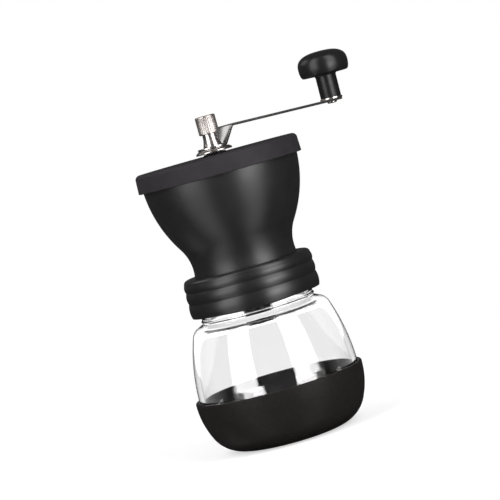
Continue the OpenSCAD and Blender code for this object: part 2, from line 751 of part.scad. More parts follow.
module hub_washer() {
    edge_z = hub_washer_z + hub_washer_edge;
    color([0.7, 0.7, 0.7]) difference() {
        turned([[[0, hub_washer_z], [hub_washer_d / 2, hub_washer_z], [hub_washer_d / 2, edge_z],
            [tongue_d / 2, strip_z], [0, strip_z]]]);
        flatted_hole(hub_washer_z - 1, hub_washer_h + 2);
    }
}

// Side view of the strip in X and Z: tongue, slope and long arm, with rounded bends
module strip_side() {
    outer = bend_r + strip_t;
    low_half = slope_angle / 2;
    bend_sum = slope_angle + droop;
    low_x = lower_bend_x - bend_r * tan(low_half);
    high_x = upper_bend_x + bend_r * tan(bend_sum / 2) * cos(droop);
    high_z = strip_z + strip_rise - bend_r * tan(bend_sum / 2) * sin(droop);
    turn_x = high_x - bend_r * sin(droop);
    turn_z = high_z - bend_r * cos(droop);
    rise_z = strip_top + bend_r;
    reach = crank_r + strip_w;
    polygon(joined([
        [[-tongue_d, strip_z]],
        arc(low_x, rise_z, outer, -90, slope_angle - 90, 6),
        arc(turn_x, turn_z, bend_r, 90 + slope_angle, 90 - droop, 6),
        [[reach, strip_z + strip_rise - (reach - upper_bend_x) * tan(droop)]],
        [[reach, strip_z + strip_rise - (reach - upper_bend_x) * tan(droop) + strip_t / cos(droop)]],
        arc(turn_x, turn_z, outer, 90 - droop, 90 + slope_angle, 6),
        arc(low_x, rise_z, bend_r, slope_angle - 90, -90, 6),
        [[-tongue_d, strip_top]]
    ]));
}

// Plan view of the strip: round tongue, tapered root and parallel arm with a round end
module strip_plan() {
    root = tongue_d / 2;
    circle(r = root);
    polygon([[0, -root], [upper_bend_x, -strip_w / 2], [upper_bend_x, strip_w / 2], [0, root]]);
    translate([upper_bend_x - 1, -strip_w / 2]) square([crank_r - upper_bend_x + 1, strip_w]);
    translate([crank_r, 0]) circle(d = strip_w);
}

// Moves a shape from the Z axis to the knob's pin, at a height above the strip's underside
module at_knob(h) {
    translate([crank_r, 0, knob_z]) rotate([0, droop, 0]) translate([0, 0, h]) children();
}

module crank_arm() {
    color([0.72, 0.71, 0.69]) difference() {
        intersection() {
            rotate([90, 0, 0]) translate([0, 0, -tongue_d]) linear_extrude(2 * tongue_d) strip_side();
            translate([0, 0, strip_z - strip_rise]) linear_extrude(3 * strip_rise) strip_plan();
        }
        flatted_hole(strip_z - 1, strip_t + 2);
        at_knob(-1) cylinder(r = pin_d / 2 + running_gap, h = strip_t + 2);
    }
}

module handle_nut() {
    foot_r = nut_foot_d / 2;
    nut_waist_r = nut_waist_d / 2;
    cap_r = cap_d / 2;
    cap_z = strip_top + nut_foot_h;
    cap_top = cap_z + cap_h;
    bevel = 0.8;
    knurl_end = bevel + 0.2;
    foot_edge = 0.5;
    // The flare from foot to waist is a quarter ellipse drawn as an arc that ends upright
    flare_h = nut_foot_h - foot_edge - bevel;
    flare_w = foot_r - nut_waist_r;
    color([0.8, 0.79, 0.77]) difference() {
        turned([
            [[0, strip_top], [foot_r, strip_top], [foot_r, strip_top + foot_edge]],
            [for (a = [10:10:90])
                [foot_r - flare_w * sin(a), strip_top + foot_edge + flare_h * (1 - cos(a))]],
            [[nut_waist_r, cap_z - bevel], [cap_r, cap_z], [cap_r, cap_top - bevel]],
            arc(cap_r - bevel, cap_top - bevel, bevel, 0, 90, 4),
            [[0, cap_top]]
        ]);
        translate([0, 0, strip_top - 1]) cylinder(r = stud_d / 2 + running_gap, h = nut_bore_h + 1);
        ring(knurl_count) translate([cap_r, 0, cap_z + knurl_end])
            rotate([0, 0, 45]) translate([-knurl_depth, -knurl_depth, 0])
                cube([2 * knurl_depth, 2 * knurl_depth, cap_h - 2 * knurl_end]);
    }
}

module knob_pin() {
    rivet_r = rivet_d / 2;
    tip = 0.6;
    pin_top = strip_t + knob_washer_t + pin_reach;
    color([0.75, 0.75, 0.76]) at_knob(0) turned([
        [[0, -rivet_h], [rivet_r - rivet_h / 2, -rivet_h], [rivet_r, -rivet_h / 2], [rivet_r, 0]],
        [[pin_d / 2, 0], [pin_d / 2, pin_top - tip]],
        [[pin_d / 2 - tip, pin_top], [0, pin_top]]
    ]);
}

module knob_washer() {
    color([0.78, 0.78, 0.79]) at_knob(strip_t)
        tube(knob_washer_d / 2, pin_d / 2 + slip_gap, 0, knob_washer_t);
}

module knob() {
    head_z = knob_stem_h;
    wide_z = head_z + knob_wide_h;
    head_top = head_z + knob_head_h;
    head_r = knob_d / 2;
    stem_r = knob_stem_d / 2;
    under_r = knob_under_d / 2;
    dome_h = knob_head_h - knob_wide_h;
    // Powers below 1 make the dome fuller than an ellipse
    dome_power = 0.74;
    stem_edge = 0.4;
    color([0.12, 0.12, 0.125]) at_knob(strip_t + knob_washer_t) difference() {
        turned([
            [[0, 0], [stem_r - stem_edge, 0], [stem_r, stem_edge]],
            arc(stem_r + knob_fillet, head_z - knob_fillet, knob_fillet, 180, 90, 5),
            [[under_r, head_z]],
            [for (a = [-80:10:0]) [under_r + (head_r - under_r) * cos(a), wide_z + knob_wide_h * sin(a)]],
            [for (a = [6:6:90])
                [head_r * pow(cos(a), dome_power), wide_z + dome_h * pow(sin(a), dome_power)]]
        ]);
        translate([0, 0, -1]) cylinder(r = pin_d / 2 + running_gap, h = pin_reach + face_gap + 1);
    }
}

glass_jar();
grip_sleeve();
hopper();
thread_collar();
upper_bush();
lower_bush();
burr_housing();
outer_burr();
lid();
drive_shaft();
inner_burr();
burr_core();
lock_plate();
adjuster_nut();
burr_spring();
spring_washer();
hub_washer();
crank_arm();
handle_nut();
knob_pin();
knob_washer();
knob();
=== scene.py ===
# %% [markdown]
# # Dressing a hand crank coffee grinder
# The grinder is a glass jar in a rubber sleeve, a waisted plastic hopper that screws on it, and a
# steel crank with a mushroom knob. Its solids already stand in the scene as exact, plain pieces.
# This lesson gives every one of them the surface that the real piece has. Pieces that the eye
# rests on are turned anew as smooth meshes, and the small metal ones are copied and softened.

# %% Load the frame
import json
import math
import bpy
from mathutils import Matrix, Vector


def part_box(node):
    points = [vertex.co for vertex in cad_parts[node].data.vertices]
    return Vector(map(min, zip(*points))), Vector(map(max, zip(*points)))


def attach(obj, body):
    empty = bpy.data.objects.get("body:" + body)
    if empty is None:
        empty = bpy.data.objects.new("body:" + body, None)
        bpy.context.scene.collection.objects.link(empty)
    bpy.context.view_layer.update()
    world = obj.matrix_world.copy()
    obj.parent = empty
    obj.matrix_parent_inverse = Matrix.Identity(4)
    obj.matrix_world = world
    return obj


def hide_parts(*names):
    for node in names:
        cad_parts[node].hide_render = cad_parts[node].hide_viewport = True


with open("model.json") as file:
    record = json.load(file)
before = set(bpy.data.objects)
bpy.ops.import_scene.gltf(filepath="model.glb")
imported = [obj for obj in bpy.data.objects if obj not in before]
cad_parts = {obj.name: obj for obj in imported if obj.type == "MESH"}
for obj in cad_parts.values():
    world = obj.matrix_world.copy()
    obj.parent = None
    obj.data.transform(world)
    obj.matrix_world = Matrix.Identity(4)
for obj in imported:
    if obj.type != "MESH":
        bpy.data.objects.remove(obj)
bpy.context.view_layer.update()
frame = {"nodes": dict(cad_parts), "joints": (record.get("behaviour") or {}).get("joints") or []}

MM = 0.001
nodes = frame["nodes"]
scene = bpy.context.scene

# %% [markdown]
# ## Turning on a lathe
# Nearly every big piece of a grinder is round, so the main tool here is the lathe. One vertex is
# extruded along half of the piece's section, and Spin carries that outline once round the axis.
# Round stretches of a section are arcs, so a helper works out their points from a centre, a
# radius and two angles. Merging doubles closes the seam and the poles.


# %% Points of an outline
MERGE = 1e-6  # metres; points closer than this become one


def arc(cx, cz, r, a0, a1, turn=5):
    """Points of an arc round (cx, cz), from angle a0 to a1 in degrees, one every few degrees."""
    steps = max(2, round(abs(a1 - a0) / turn))
    angles = [math.radians(a0 + (a1 - a0) * i / steps) for i in range(steps + 1)]
    return [(cx + r * math.cos(a), cz + r * math.sin(a)) for a in angles]


def joined(*stretches):
    """One outline from several stretches, without points that coincide."""
    points = []
    for stretch in stretches:
        for p in stretch:
            if not points or math.dist(p, points[-1]) > MERGE:
                points.append(p)
    return points


# %% Lathe
def deselect():
    if bpy.context.object and bpy.context.object.mode != "OBJECT":
        bpy.ops.object.mode_set(mode="OBJECT")
    bpy.ops.object.select_all(action="DESELECT")


def only(piece):
    """Selects one piece and makes it the active one."""
    deselect()
    piece.select_set(True)
    bpy.context.view_layer.objects.active = piece
    return piece


def smoothed(piece, angle=32):
    only(piece)
    bpy.ops.object.shade_smooth_by_angle(angle=math.radians(angle))
    return piece


def drawn(name, outline, loop=True):
    """A chain of edges along an outline of (radius, height), in metres, in the XZ plane."""
    deselect()
    bpy.ops.mesh.primitive_plane_add(size=MM)
    piece = bpy.context.object
    piece.name = name
    bpy.ops.object.mode_set(mode="EDIT")
    bpy.ops.mesh.merge(type="CENTER")
    bpy.ops.transform.translate(value=(outline[0][0], 0, outline[0][1]))
    for a, b in zip(outline, outline[1:]):
        step = {"value": (b[0] - a[0], 0, b[1] - a[1])}
        bpy.ops.mesh.extrude_region_move(TRANSFORM_OT_translate=step)
    bpy.ops.object.mode_set(mode="OBJECT")
    if loop:
        ends = [0, len(piece.data.vertices) - 1]
        for i, v in enumerate(piece.data.vertices):
            v.select = i in ends
        bpy.ops.object.mode_set(mode="EDIT")
        bpy.ops.mesh.edge_face_add()
        bpy.ops.object.mode_set(mode="OBJECT")
    return piece


def turned(name, *stretches, steps=128, loop=True, angle=32):
    """A piece turned from its half section, closed and smooth."""
    piece = drawn(name, joined(*stretches), loop)
    bpy.ops.object.mode_set(mode="EDIT")
    bpy.ops.mesh.select_all(action="SELECT")
    bpy.ops.mesh.spin(steps=steps, angle=2 * math.pi, center=(0, 0, 0), axis=(0, 0, 1))
    bpy.ops.mesh.select_all(action="SELECT")
    bpy.ops.mesh.remove_doubles(threshold=MERGE)
    bpy.ops.mesh.normals_make_consistent(inside=False)
    bpy.ops.object.mode_set(mode="OBJECT")
    smoothed(piece, angle)
    print(name, "faces:", len(piece.data.polygons))
    return piece


# %% [markdown]
# ## Small metal parts
# A cut strip or a turned washer never has a knife edge: tumbling or polishing leaves a tiny round
# that catches the light. The exact solid is right in shape, so its mesh is copied, its loose
# triangles are merged back into faces, and a Bevel modifier rounds every sharp edge.


# %% Copies with soft edges
SOLID_MERGE = 2e-6
FLAT_ANGLE = 0.5  # degrees; faces that bend less than this become one


def bevelled(piece, width, segments, angle):
    """Rounds the edges at which the active piece bends by more than angle, in degrees."""
    bevel = piece.modifiers.new("edge", "BEVEL")
    bevel.width = width
    bevel.segments = segments
    bevel.limit_method = "ANGLE"
    bevel.angle_limit = math.radians(angle)
    bevel.harden_normals = False
    bpy.ops.object.modifier_apply(modifier=bevel.name)


def softened(node, width):
    """A copy of a solid with its edges rounded by width. It stands for that solid."""
    deselect()
    piece = nodes[node].copy()
    piece.data = nodes[node].data.copy()
    piece.parent = None
    for key in [k for k in piece.keys() if k.startswith("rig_")]:
        del piece[key]
    piece.name = node + "_soft"
    scene.collection.objects.link(piece)
    only(piece)
    bpy.ops.object.mode_set(mode="EDIT")
    bpy.ops.mesh.customdata_custom_splitnormals_clear()
    bpy.ops.mesh.select_all(action="SELECT")
    bpy.ops.mesh.remove_doubles(threshold=SOLID_MERGE)
    bpy.ops.mesh.dissolve_limited(angle_limit=math.radians(FLAT_ANGLE))
    bpy.ops.object.mode_set(mode="OBJECT")
    bevelled(piece, width, segments=2, angle=30)
    smoothed(piece, 28)
    print(piece.name, "faces:", len(piece.data.polygons))
    return piece


# %% [markdown]
# ## A kit for finishes
# Every finish below is a small node tree: a Principled shader whose roughness, colour and bump
# are moved a little by noise. The noise reads Object coordinates, which are metres here, so its
# scale is the number of features per metre and stays true to size on every piece.


# %% Finish kit
class Finish:
    """A material and the helpers that add nodes to it."""

    def __init__(self, name, colour, roughness, metallic=0.0, **sockets):
        self.material = bpy.data.materials.new(name)
        self.material.use_nodes = True
        self.tree = self.material.node_tree
        self.shader = self.tree.nodes["Principled BSDF"]
        self.shader.inputs["Base Color"].default_value = (*colour, 1)
        self.shader.inputs["Roughness"].default_value = roughness
        self.shader.inputs["Metallic"].default_value = metallic
        for socket, value in sockets.items():
            self.shader.inputs[socket.replace("_", " ")].default_value = value
        self.place = self.add("ShaderNodeTexCoord").outputs["Object"]

    def add(self, kind, **values):
        node = self.tree.nodes.new(kind)
        for key, value in values.items():
            setattr(node, key, value)
        return node

    def link(self, a, b):
        self.tree.links.new(a, b)

    def stretched(self, scale):
        """Coordinates multiplied by scale along X, Y and Z."""
        mapping = self.add("ShaderNodeMapping")
        mapping.inputs["Scale"].default_value = scale
        self.link(self.place, mapping.inputs["Vector"])
        return mapping.outputs["Vector"]

    def noise(self, per_metre, detail=3.0, rough=0.5, place=None):
        node = self.add("ShaderNodeTexNoise")
        node.inputs["Scale"].default_value = per_metre
        node.inputs["Detail"].default_value = detail
        node.inputs["Roughness"].default_value = rough
        self.link(place or self.place, node.inputs["Vector"])
        return node.outputs["Fac"]

    def between(self, source, low, high, start=0.3, stop=0.7):
        """The source's stretch from start to stop, remapped to low to high."""
        node = self.add("ShaderNodeMapRange")
        limits = {"From Min": start, "From Max": stop, "To Min": low, "To Max": high}
        for key, value in limits.items():
            node.inputs[key].default_value = value
        self.link(source, node.inputs["Value"])
        return node.outputs["Result"]

    def mixed(self, factor, first, second):
        """A colour between two others."""
        node = self.add("ShaderNodeMix", data_type="RGBA")
        node.inputs["A"].default_value = (*first, 1)
        node.inputs["B"].default_value = (*second, 1)
        self.link(factor, node.inputs["Factor"])
        return node.outputs["Result"]

    def colour(self, source):
        self.link(source, self.shader.inputs["Base Color"])

    def roughness(self, source):
        self.link(source, self.shader.inputs["Roughness"])

    def bump(self, source, height, strength=1.0):
        """Raises the surface by the source times height, in metres."""
        node = self.add("ShaderNodeBump")
        node.inputs["Strength"].default_value = strength
        node.inputs["Distance"].default_value = height
        self.link(source, node.inputs["Height"])
        before = self.shader.inputs["Normal"].links
        if before:
            self.link(before[0].from_socket, node.inputs["Normal"])
        self.link(node.outputs["Normal"], self.shader.inputs["Normal"])


def dressed(piece, finish):
    """Gives a piece one finish all over."""
    if piece.data.materials:
        for i in range(len(piece.data.materials)):
            piece.data.materials[i] = finish.material
    else:
        piece.data.materials.append(finish.material)
    return piece


def placed(piece, body, node, finish):
    """Puts a finished piece in the place of a solid."""
    dressed(piece, finish)
    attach(piece, body)
    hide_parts(node)
    return piece


# %% [markdown]
# ## Black moulded plastic
# The hopper and the collar are one black ABS, moulded with a fine satin grain. A soft highlight
# runs down it, because the grain spreads the reflection but the surface below is even. The grain
# is a bump of a few microns, with a slower waviness that keeps the highlight from being a ruler.


# %% Plastics
def moulded(name, colour, rough, gloss=0.2, grain_height=0.012 * MM, wave_height=0.05 * MM):
    """Satin plastic: fine grain, a slow wave, a faint bloom and marks of handling."""
    finish = Finish(name, colour, rough, IOR=1.5, Specular_IOR_Level=gloss)
    marks = finish.noise(55, detail=5)
    finish.roughness(finish.between(marks, rough * 0.88, rough * 1.14))
    pale = tuple(c * 1.12 + 0.0008 for c in colour)
    finish.colour(finish.mixed(finish.between(finish.noise(160, detail=4), 0, 1), colour, pale))
    finish.bump(finish.noise(14, detail=1), wave_height, 0.5)
    finish.bump(finish.noise(9000, detail=2), grain_height, 0.6)
    return finish


hopper_black = moulded("hopper_black_plastic", (0.0105, 0.0102, 0.0104), 0.36, gloss=0.42)
collar_black = moulded("collar_black_plastic", (0.009, 0.0088, 0.009), 0.32, gloss=0.45)
lid_grey = moulded(
    "lid_grey_plastic", (0.022, 0.020, 0.022), 0.6, gloss=0.12, grain_height=0.02 * MM
)
knob_black = moulded("knob_black_plastic", (0.009, 0.009, 0.0095), 0.3, gloss=0.3)
inner_black = moulded("inner_black_plastic", (0.03, 0.03, 0.031), 0.45)
plastics = (hopper_black, collar_black, lid_grey, knob_black, inner_black)
print("plastics:", len(plastics))

# %% [markdown]
# ## Rubber, glass, ceramic and metals
# The sleeve is a matt silicone: nearly no gloss, with dust that clings to it. The jar is pressed
# glass, so it is smooth but faintly wavy. Seen edge on, a thick glass wall turns dark, because it
# bends the light away. Layer Weight finds those places, and a painted shade darkens the glass's
# colour there. The burrs are fired ceramic, chalky and a little speckled. The metals differ by
# their finish: turned steel has rings round the axis, the strip is polished along its length, and
# the nut is plated over a warm base.

# %% Rubber
sleeve_rubber = Finish("sleeve_rubber", (0.014, 0.012, 0.011), 0.42, Specular_IOR_Level=0.09)
dust = sleeve_rubber.between(sleeve_rubber.noise(420, detail=6, rough=0.65), 0, 1)
sleeve_rubber.colour(sleeve_rubber.mixed(dust, (0.010, 0.0088, 0.0085), (0.014, 0.0125, 0.012)))
sleeve_rubber.roughness(sleeve_rubber.between(sleeve_rubber.noise(70, detail=4), 0.38, 0.46))
sleeve_rubber.bump(sleeve_rubber.noise(5200, detail=2), 0.02 * MM, 0.6)

# %% Glass
CLEAR = (0.99, 0.986, 0.99)
PAINTED_EDGE_SHADE = (0.12, 0.12, 0.12)
jar_glass = Finish("jar_glass", CLEAR, 0.0, IOR=1.5, Transmission_Weight=1.0)
jar_glass.bump(jar_glass.noise(26, detail=1), 0.06 * MM, 0.35)
# Painted shade: the glass's colour turns dark grey where its wall is seen edge on.
facing = jar_glass.add("ShaderNodeLayerWeight").outputs["Facing"]
edge_shade_mask = jar_glass.between(facing, 0, 1, start=0.76, stop=0.9)
jar_glass.colour(jar_glass.mixed(edge_shade_mask, CLEAR, PAINTED_EDGE_SHADE))

# %% Ceramic
burr_ceramic = Finish("burr_ceramic", (0.8, 0.78, 0.73), 0.5)
specks = burr_ceramic.between(burr_ceramic.noise(1600, detail=5, rough=0.7), 0, 1, 0.42, 0.68)
burr_ceramic.colour(burr_ceramic.mixed(specks, (0.84, 0.82, 0.77), (0.62, 0.59, 0.54)))
burr_ceramic.bump(burr_ceramic.noise(3500, detail=3), 0.015 * MM, 0.6)


# %% Metals
def metal(name, colour, rough, lines, swing=0.25, height=0.004 * MM):
    """Metal with fine lines: lines is the noise's scale along X, Y and Z, in features per metre."""
    finish = Finish(name, colour, rough, metallic=1.0)
    grain = finish.noise(1.0, detail=4, place=finish.stretched(lines))
    finish.roughness(finish.between(grain, rough * (1 - swing), rough * (1 + swing)))
    dark = tuple(c * 0.88 for c in colour)
    finish.colour(finish.mixed(finish.between(finish.noise(90, detail=5), 0, 1), dark, colour))
    finish.bump(grain, height, 0.5)
    return finish


turned_steel = metal("turned_steel", (0.62, 0.62, 0.62), 0.26, (60, 60, 5200))
strip_steel = metal(
    "strip_steel", (0.52, 0.51, 0.50), 0.25, (40, 2600, 2600), swing=0.12, height=0.0008 * MM
)
plated_steel = metal("plated_steel", (0.56, 0.52, 0.50), 0.24, (300, 300, 300), height=0.001 * MM)
# The cap's steel is coloured darker than the plated foot's: painted shade of its fine knurl
# grooves.
knurl_shaded_steel = metal(
    "knurl_shaded_steel", (0.46, 0.425, 0.405), 0.42, (900, 900, 300), height=0.003 * MM
)
bush_brass = metal("bush_brass", (0.7, 0.5, 0.22), 0.28, (60, 60, 4200))
spring_wire = metal("spring_wire", (0.5, 0.5, 0.5), 0.3, (900, 900, 900))
metals = (turned_steel, strip_steel, plated_steel, knurl_shaded_steel, bush_brass, spring_wire)
print("metals:", len(metals))

# %% [markdown]
# ## The glass jar
# A preserving-type jar: a round foot, a belly, a shoulder and a neck with a bead below the thread.
# Glass shows both its faces, so the jar is turned as one closed section, outer and inner side,
# with the thick floor that pressed glass has. The heights hang on the solid's own box, so the
# jar stays where the solid is.

# %% Heights of the jar
jar_low, jar_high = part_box("glass_jar")
JAR_R = 44.8 * MM  # belly
FOOT_R = 42.8 * MM  # wall below the belly
FOOT_ANGLE = 25.7
CORNER_R = 16.3 * MM
INNER_CORNER_R = 11 * MM
FLANK_R = 112 * MM  # wall above the belly
FLANK_ANGLE = 19.1
SHOULDER_R = 7.1 * MM
SHOULDER_END = 56  # angle at which the shoulder runs into the neck
GLASS_T = 2.8 * MM
FINISH_R = 31.3 * MM  # outside of the neck
MOUTH_R = 28.2 * MM
BEAD_R = 0.6 * MM
BEAD_GAP = 1.6 * MM
NECK_FILLET = 0.9 * MM
NECK_RISE = 1.4 * MM  # centre of the fillet above the shoulder
THROAT_R = 3.6 * MM  # round under the mouth, inside
THROAT_RISE = 4.2 * MM
RIM_ROUND = 1.0 * MM


def polar(cx, cz, r, angle):
    a = math.radians(angle)
    return cx + r * math.cos(a), cz + r * math.sin(a)


jar_foot, jar_rim = jar_low.z, jar_high.z
corner_drop = (FOOT_R - CORNER_R) * math.sin(math.radians(FOOT_ANGLE))
belly_z = jar_foot + CORNER_R + corner_drop
foot_x, flank_x = JAR_R - FOOT_R, JAR_R - FLANK_R
corner_x, corner_z = polar(foot_x, belly_z, FOOT_R - CORNER_R, -FOOT_ANGLE)
shoulder_x, shoulder_z = polar(flank_x, belly_z, FLANK_R - SHOULDER_R, FLANK_ANGLE)
shoulder_top = shoulder_z + SHOULDER_R
print("jar from", round(jar_foot, 4), "to", round(jar_rim, 4), "belly at", round(belly_z, 4))

# %% Turn the jar
wall_r = FOOT_R - GLASS_T
inner_x, inner_z = polar(foot_x, belly_z, wall_r - INNER_CORNER_R, -FOOT_ANGLE)
throat_z = shoulder_top - GLASS_T
bead_z = shoulder_top + BEAD_GAP + BEAD_R
jar = turned(
    "jar_glass_body",
    [(0, jar_foot)],
    arc(corner_x, corner_z, CORNER_R, -90, -FOOT_ANGLE),
    arc(foot_x, belly_z, FOOT_R, -FOOT_ANGLE, 0),
    arc(flank_x, belly_z, FLANK_R, 0, FLANK_ANGLE, 1.5),
    arc(shoulder_x, shoulder_z, SHOULDER_R, FLANK_ANGLE, SHOULDER_END, 6),
    [(FINISH_R + 1.5 * MM, shoulder_top + 0.3 * MM)],
    arc(FINISH_R + NECK_FILLET, shoulder_top + NECK_RISE, NECK_FILLET, 240, 180, 15),
    arc(FINISH_R, bead_z, BEAD_R, -75, 75, 12),
    [(FINISH_R, bead_z + BEAD_R + 0.4 * MM)],
    arc(FINISH_R - RIM_ROUND, jar_rim - RIM_ROUND, RIM_ROUND, 0, 90, 15),
    arc(MOUTH_R + RIM_ROUND, jar_rim - RIM_ROUND, RIM_ROUND, 90, 180, 15),
    arc(MOUTH_R + THROAT_R, throat_z + THROAT_RISE, THROAT_R, 180, 180 + SHOULDER_END, 8),
    arc(shoulder_x, shoulder_z, SHOULDER_R - GLASS_T, SHOULDER_END, FLANK_ANGLE, 9),
    arc(flank_x, belly_z, FLANK_R - GLASS_T, FLANK_ANGLE, 0, 1.5),
    arc(foot_x, belly_z, wall_r, 0, -FOOT_ANGLE),
    arc(inner_x, inner_z, INNER_CORNER_R, -FOOT_ANGLE, -90, 6),
    [(0, inner_z - INNER_CORNER_R)],
    loop=False,
    steps=160,
    angle=50,
)

# %% [markdown]
# ## The jar's thread
# The thread is a ridge that climbs 6 mm in a turn, for a turn and a quarter, and dies away at both
# ends. The Screw modifier sweeps its section up the helix. The section ends where it starts, so
# the sweep is a closed tube, and only its two ends need a face. Toward them the crest sinks into
# the wall. A Boolean then makes ridge and jar one body of glass, as a mould does.

# %% Thread ridge
THREAD_LEAD = 6 * MM
THREAD_TURNS = 1.25
THREAD_ROOT = 0.3 * MM  # how deep the ridge stands in the wall
THREAD_CREST_R = 32.9 * MM
THREAD_DROP = 12.2 * MM  # start of the ridge below the rim
END_CREST = 0.05  # share of the crest that is left at the ends


def thread_ridge(name, root_r, crest_r, start_z, width, flat, turns, per_turn=72, fade=8):
    """A helical ridge whose section runs from root_r to crest_r and fades at both ends."""
    section = [
        (root_r, start_z - width / 2),
        (crest_r, start_z - flat / 2),
        (crest_r, start_z + flat / 2),
        (root_r, start_z + width / 2),
        (root_r, start_z - width / 2),
    ]
    piece = drawn(name, section, loop=False)
    screw = piece.modifiers.new("helix", "SCREW")
    screw.angle = 2 * math.pi * turns
    screw.screw_offset = THREAD_LEAD * turns
    screw.steps = screw.render_steps = round(per_turn * turns)
    screw.use_merge_vertices = False
    only(piece)
    bpy.ops.object.modifier_apply(modifier=screw.name)
    rings = round(per_turn * turns) + 1
    for v in piece.data.vertices:
        turn = (math.atan2(v.co.y, v.co.x) % (2 * math.pi)) / (2 * math.pi)
        r = math.hypot(v.co.x, v.co.y)
        climb = (v.co.z - start_z) / THREAD_LEAD
        passed = round(climb - turn)
        along = (passed + turn) * per_turn
        rest = min(along, rings - 1 - along)
        keep = max(END_CREST, min(1.0, rest / fade))
        new_r = root_r + (r - root_r) * keep
        v.co.x *= new_r / r
        v.co.y *= new_r / r
    bpy.ops.object.mode_set(mode="EDIT")
    bpy.ops.mesh.select_all(action="SELECT")
    bpy.ops.mesh.remove_doubles(threshold=MERGE)
    bpy.ops.mesh.select_all(action="DESELECT")
    bpy.ops.mesh.select_non_manifold()
    bpy.ops.mesh.fill_holes(sides=len(section))
    bpy.ops.mesh.select_all(action="SELECT")
    bpy.ops.mesh.normals_make_consistent(inside=False)
    bpy.ops.object.mode_set(mode="OBJECT")
    print(name, "faces:", len(piece.data.polygons))
    return piece


jar_thread = thread_ridge(
    "jar_thread",
    FINISH_R - THREAD_ROOT,
    THREAD_CREST_R,
    jar_rim - THREAD_DROP,
    width=2.6 * MM,
    flat=1.1 * MM,
    turns=THREAD_TURNS,
)

# %% One body of glass
union = jar.modifiers.new("moulded", "BOOLEAN")
union.operation = "UNION"
union.solver = "EXACT"
union.object = jar_thread
only(jar)
bpy.ops.object.modifier_apply(modifier=union.name)
bpy.data.objects.remove(jar_thread)
smoothed(jar, 40)
placed(jar, "jar", "glass_jar", jar_glass)
print("jar faces:", len(jar.data.polygons))

# %% [markdown]
# ## The grip sleeve
# A silicone cup pulled over the jar's foot, so its wall follows the glass at a small gap. Its rim
# is rounded. The middle of its underside is recessed a little, so the grinder stands on a ring.

# %% Turn the sleeve
SLEEVE_T = 1.9 * MM
SLEEVE_GAP = 0.3 * MM
skin = SLEEVE_T + SLEEVE_GAP
SLEEVE_RISE = 1.5 * MM
RECESS = 0.5 * MM
RECESS_R, STAND_R = 12 * MM, 13 * MM
sleeve_top = belly_z + SLEEVE_RISE
rim_x = JAR_R + SLEEVE_GAP + SLEEVE_T / 2
sleeve = turned(
    "grip_sleeve_rubber",
    [(0, RECESS), (RECESS_R, RECESS), (STAND_R, 0), (corner_x - 3 * MM, 0)],
    arc(corner_x, corner_z, CORNER_R + skin, -90, -FOOT_ANGLE, 4),
    arc(foot_x, belly_z, FOOT_R + skin, -FOOT_ANGLE, 0, 3),
    arc(rim_x, sleeve_top - SLEEVE_T / 2, SLEEVE_T / 2, 0, 180, 15),
    arc(foot_x, belly_z, FOOT_R + SLEEVE_GAP, 0, -FOOT_ANGLE, 3),
    arc(corner_x, corner_z, CORNER_R + SLEEVE_GAP, -FOOT_ANGLE, -90, 4),
    [(corner_x - 2 * MM, SLEEVE_T), (corner_x - 2.3 * MM, jar_foot), (0, jar_foot)],
    loop=False,
    steps=144,
)
placed(sleeve, "sleeve", "grip_sleeve", sleeve_rubber)

# %% [markdown]
# ## The hopper
# The hopper's side is a big convex arc that runs down into a small concave one at the waist. The
# two are tangent, so the small radius follows from the big one, the waist and the rise between
# them. Inside stands the bridge: a hub on three spokes, which holds the shaft's bushes.

# %% Shape of the hopper's side
HOPPER_R = 43.4 * MM
BULGE_R = 71.6 * MM
HOPPER_RISE = 51.2 * MM
HOPPER_BAND = 4.6 * MM
WAIST_R = 28.4 * MM
WAIST_RISE = 4.3 * MM
HOPPER_WALL = 2.4 * MM
FLANGE_T = 3 * MM
flange_top = jar_rim + FLANGE_T
collar_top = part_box("thread_collar")[1].z
hopper_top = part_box("hopper")[1].z
bulge_z = hopper_top - HOPPER_BAND
waist_z = bulge_z - HOPPER_RISE
bulge_x = HOPPER_R - BULGE_R
waist_gap = WAIST_R - bulge_x
waist_arc = (waist_gap**2 + HOPPER_RISE**2 - BULGE_R**2) / (2 * (BULGE_R - waist_gap))
waist_x = WAIST_R + waist_arc
tangent = math.degrees(math.atan2(HOPPER_RISE, waist_x - bulge_x))
flare = math.degrees(math.asin(WAIST_RISE / waist_arc))
neck_r = waist_x - waist_arc * math.cos(math.radians(flare))


def hopper_side(inset, foot_angle):
    """The hopper's side from the collar upwards, moved inwards by inset."""
    return joined(
        arc(waist_x, waist_z, waist_arc + inset, 180 + foot_angle, 180 - tangent, 4),
        arc(bulge_x, bulge_z, BULGE_R - inset, -tangent, 0, 2),
    )


print("waist arc:", round(waist_arc / MM, 2), "mm, tangent at", round(tangent, 1), "degrees")

# %% Turn the hopper
SPIGOT_R = 27.6 * MM
SPIGOT_BORE_R = 24.8 * MM
SPIGOT_H = 8 * MM
LEDGE_BORE_R = 22.1 * MM
LEDGE_RISE = 4 * MM
LEDGE_T = 1.5 * MM
FLANGE_GAP = 3.2 * MM
ledge_z = jar_rim + LEDGE_RISE
funnel_r = WAIST_R - HOPPER_WALL
rim_edge = 0.5 * MM
flange_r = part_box("thread_collar")[1].x - FLANGE_GAP
hopper = turned(
    "hopper_shell",
    [(SPIGOT_BORE_R, jar_rim - SPIGOT_H), (SPIGOT_R, jar_rim - SPIGOT_H), (SPIGOT_R, jar_rim)],
    [(flange_r, jar_rim), (flange_r, flange_top), (neck_r, flange_top)],
    hopper_side(0, flare),
    arc(HOPPER_R - rim_edge, hopper_top - rim_edge, rim_edge, 0, 90, 30),
    arc(HOPPER_R - HOPPER_WALL + rim_edge, hopper_top - rim_edge, rim_edge, 90, 180, 30),
    list(reversed(hopper_side(HOPPER_WALL, 0))),
    [(funnel_r, ledge_z + LEDGE_T + funnel_r - LEDGE_BORE_R), (LEDGE_BORE_R, ledge_z + LEDGE_T)],
    [(LEDGE_BORE_R, ledge_z), (SPIGOT_BORE_R, ledge_z)],
    steps=160,
)

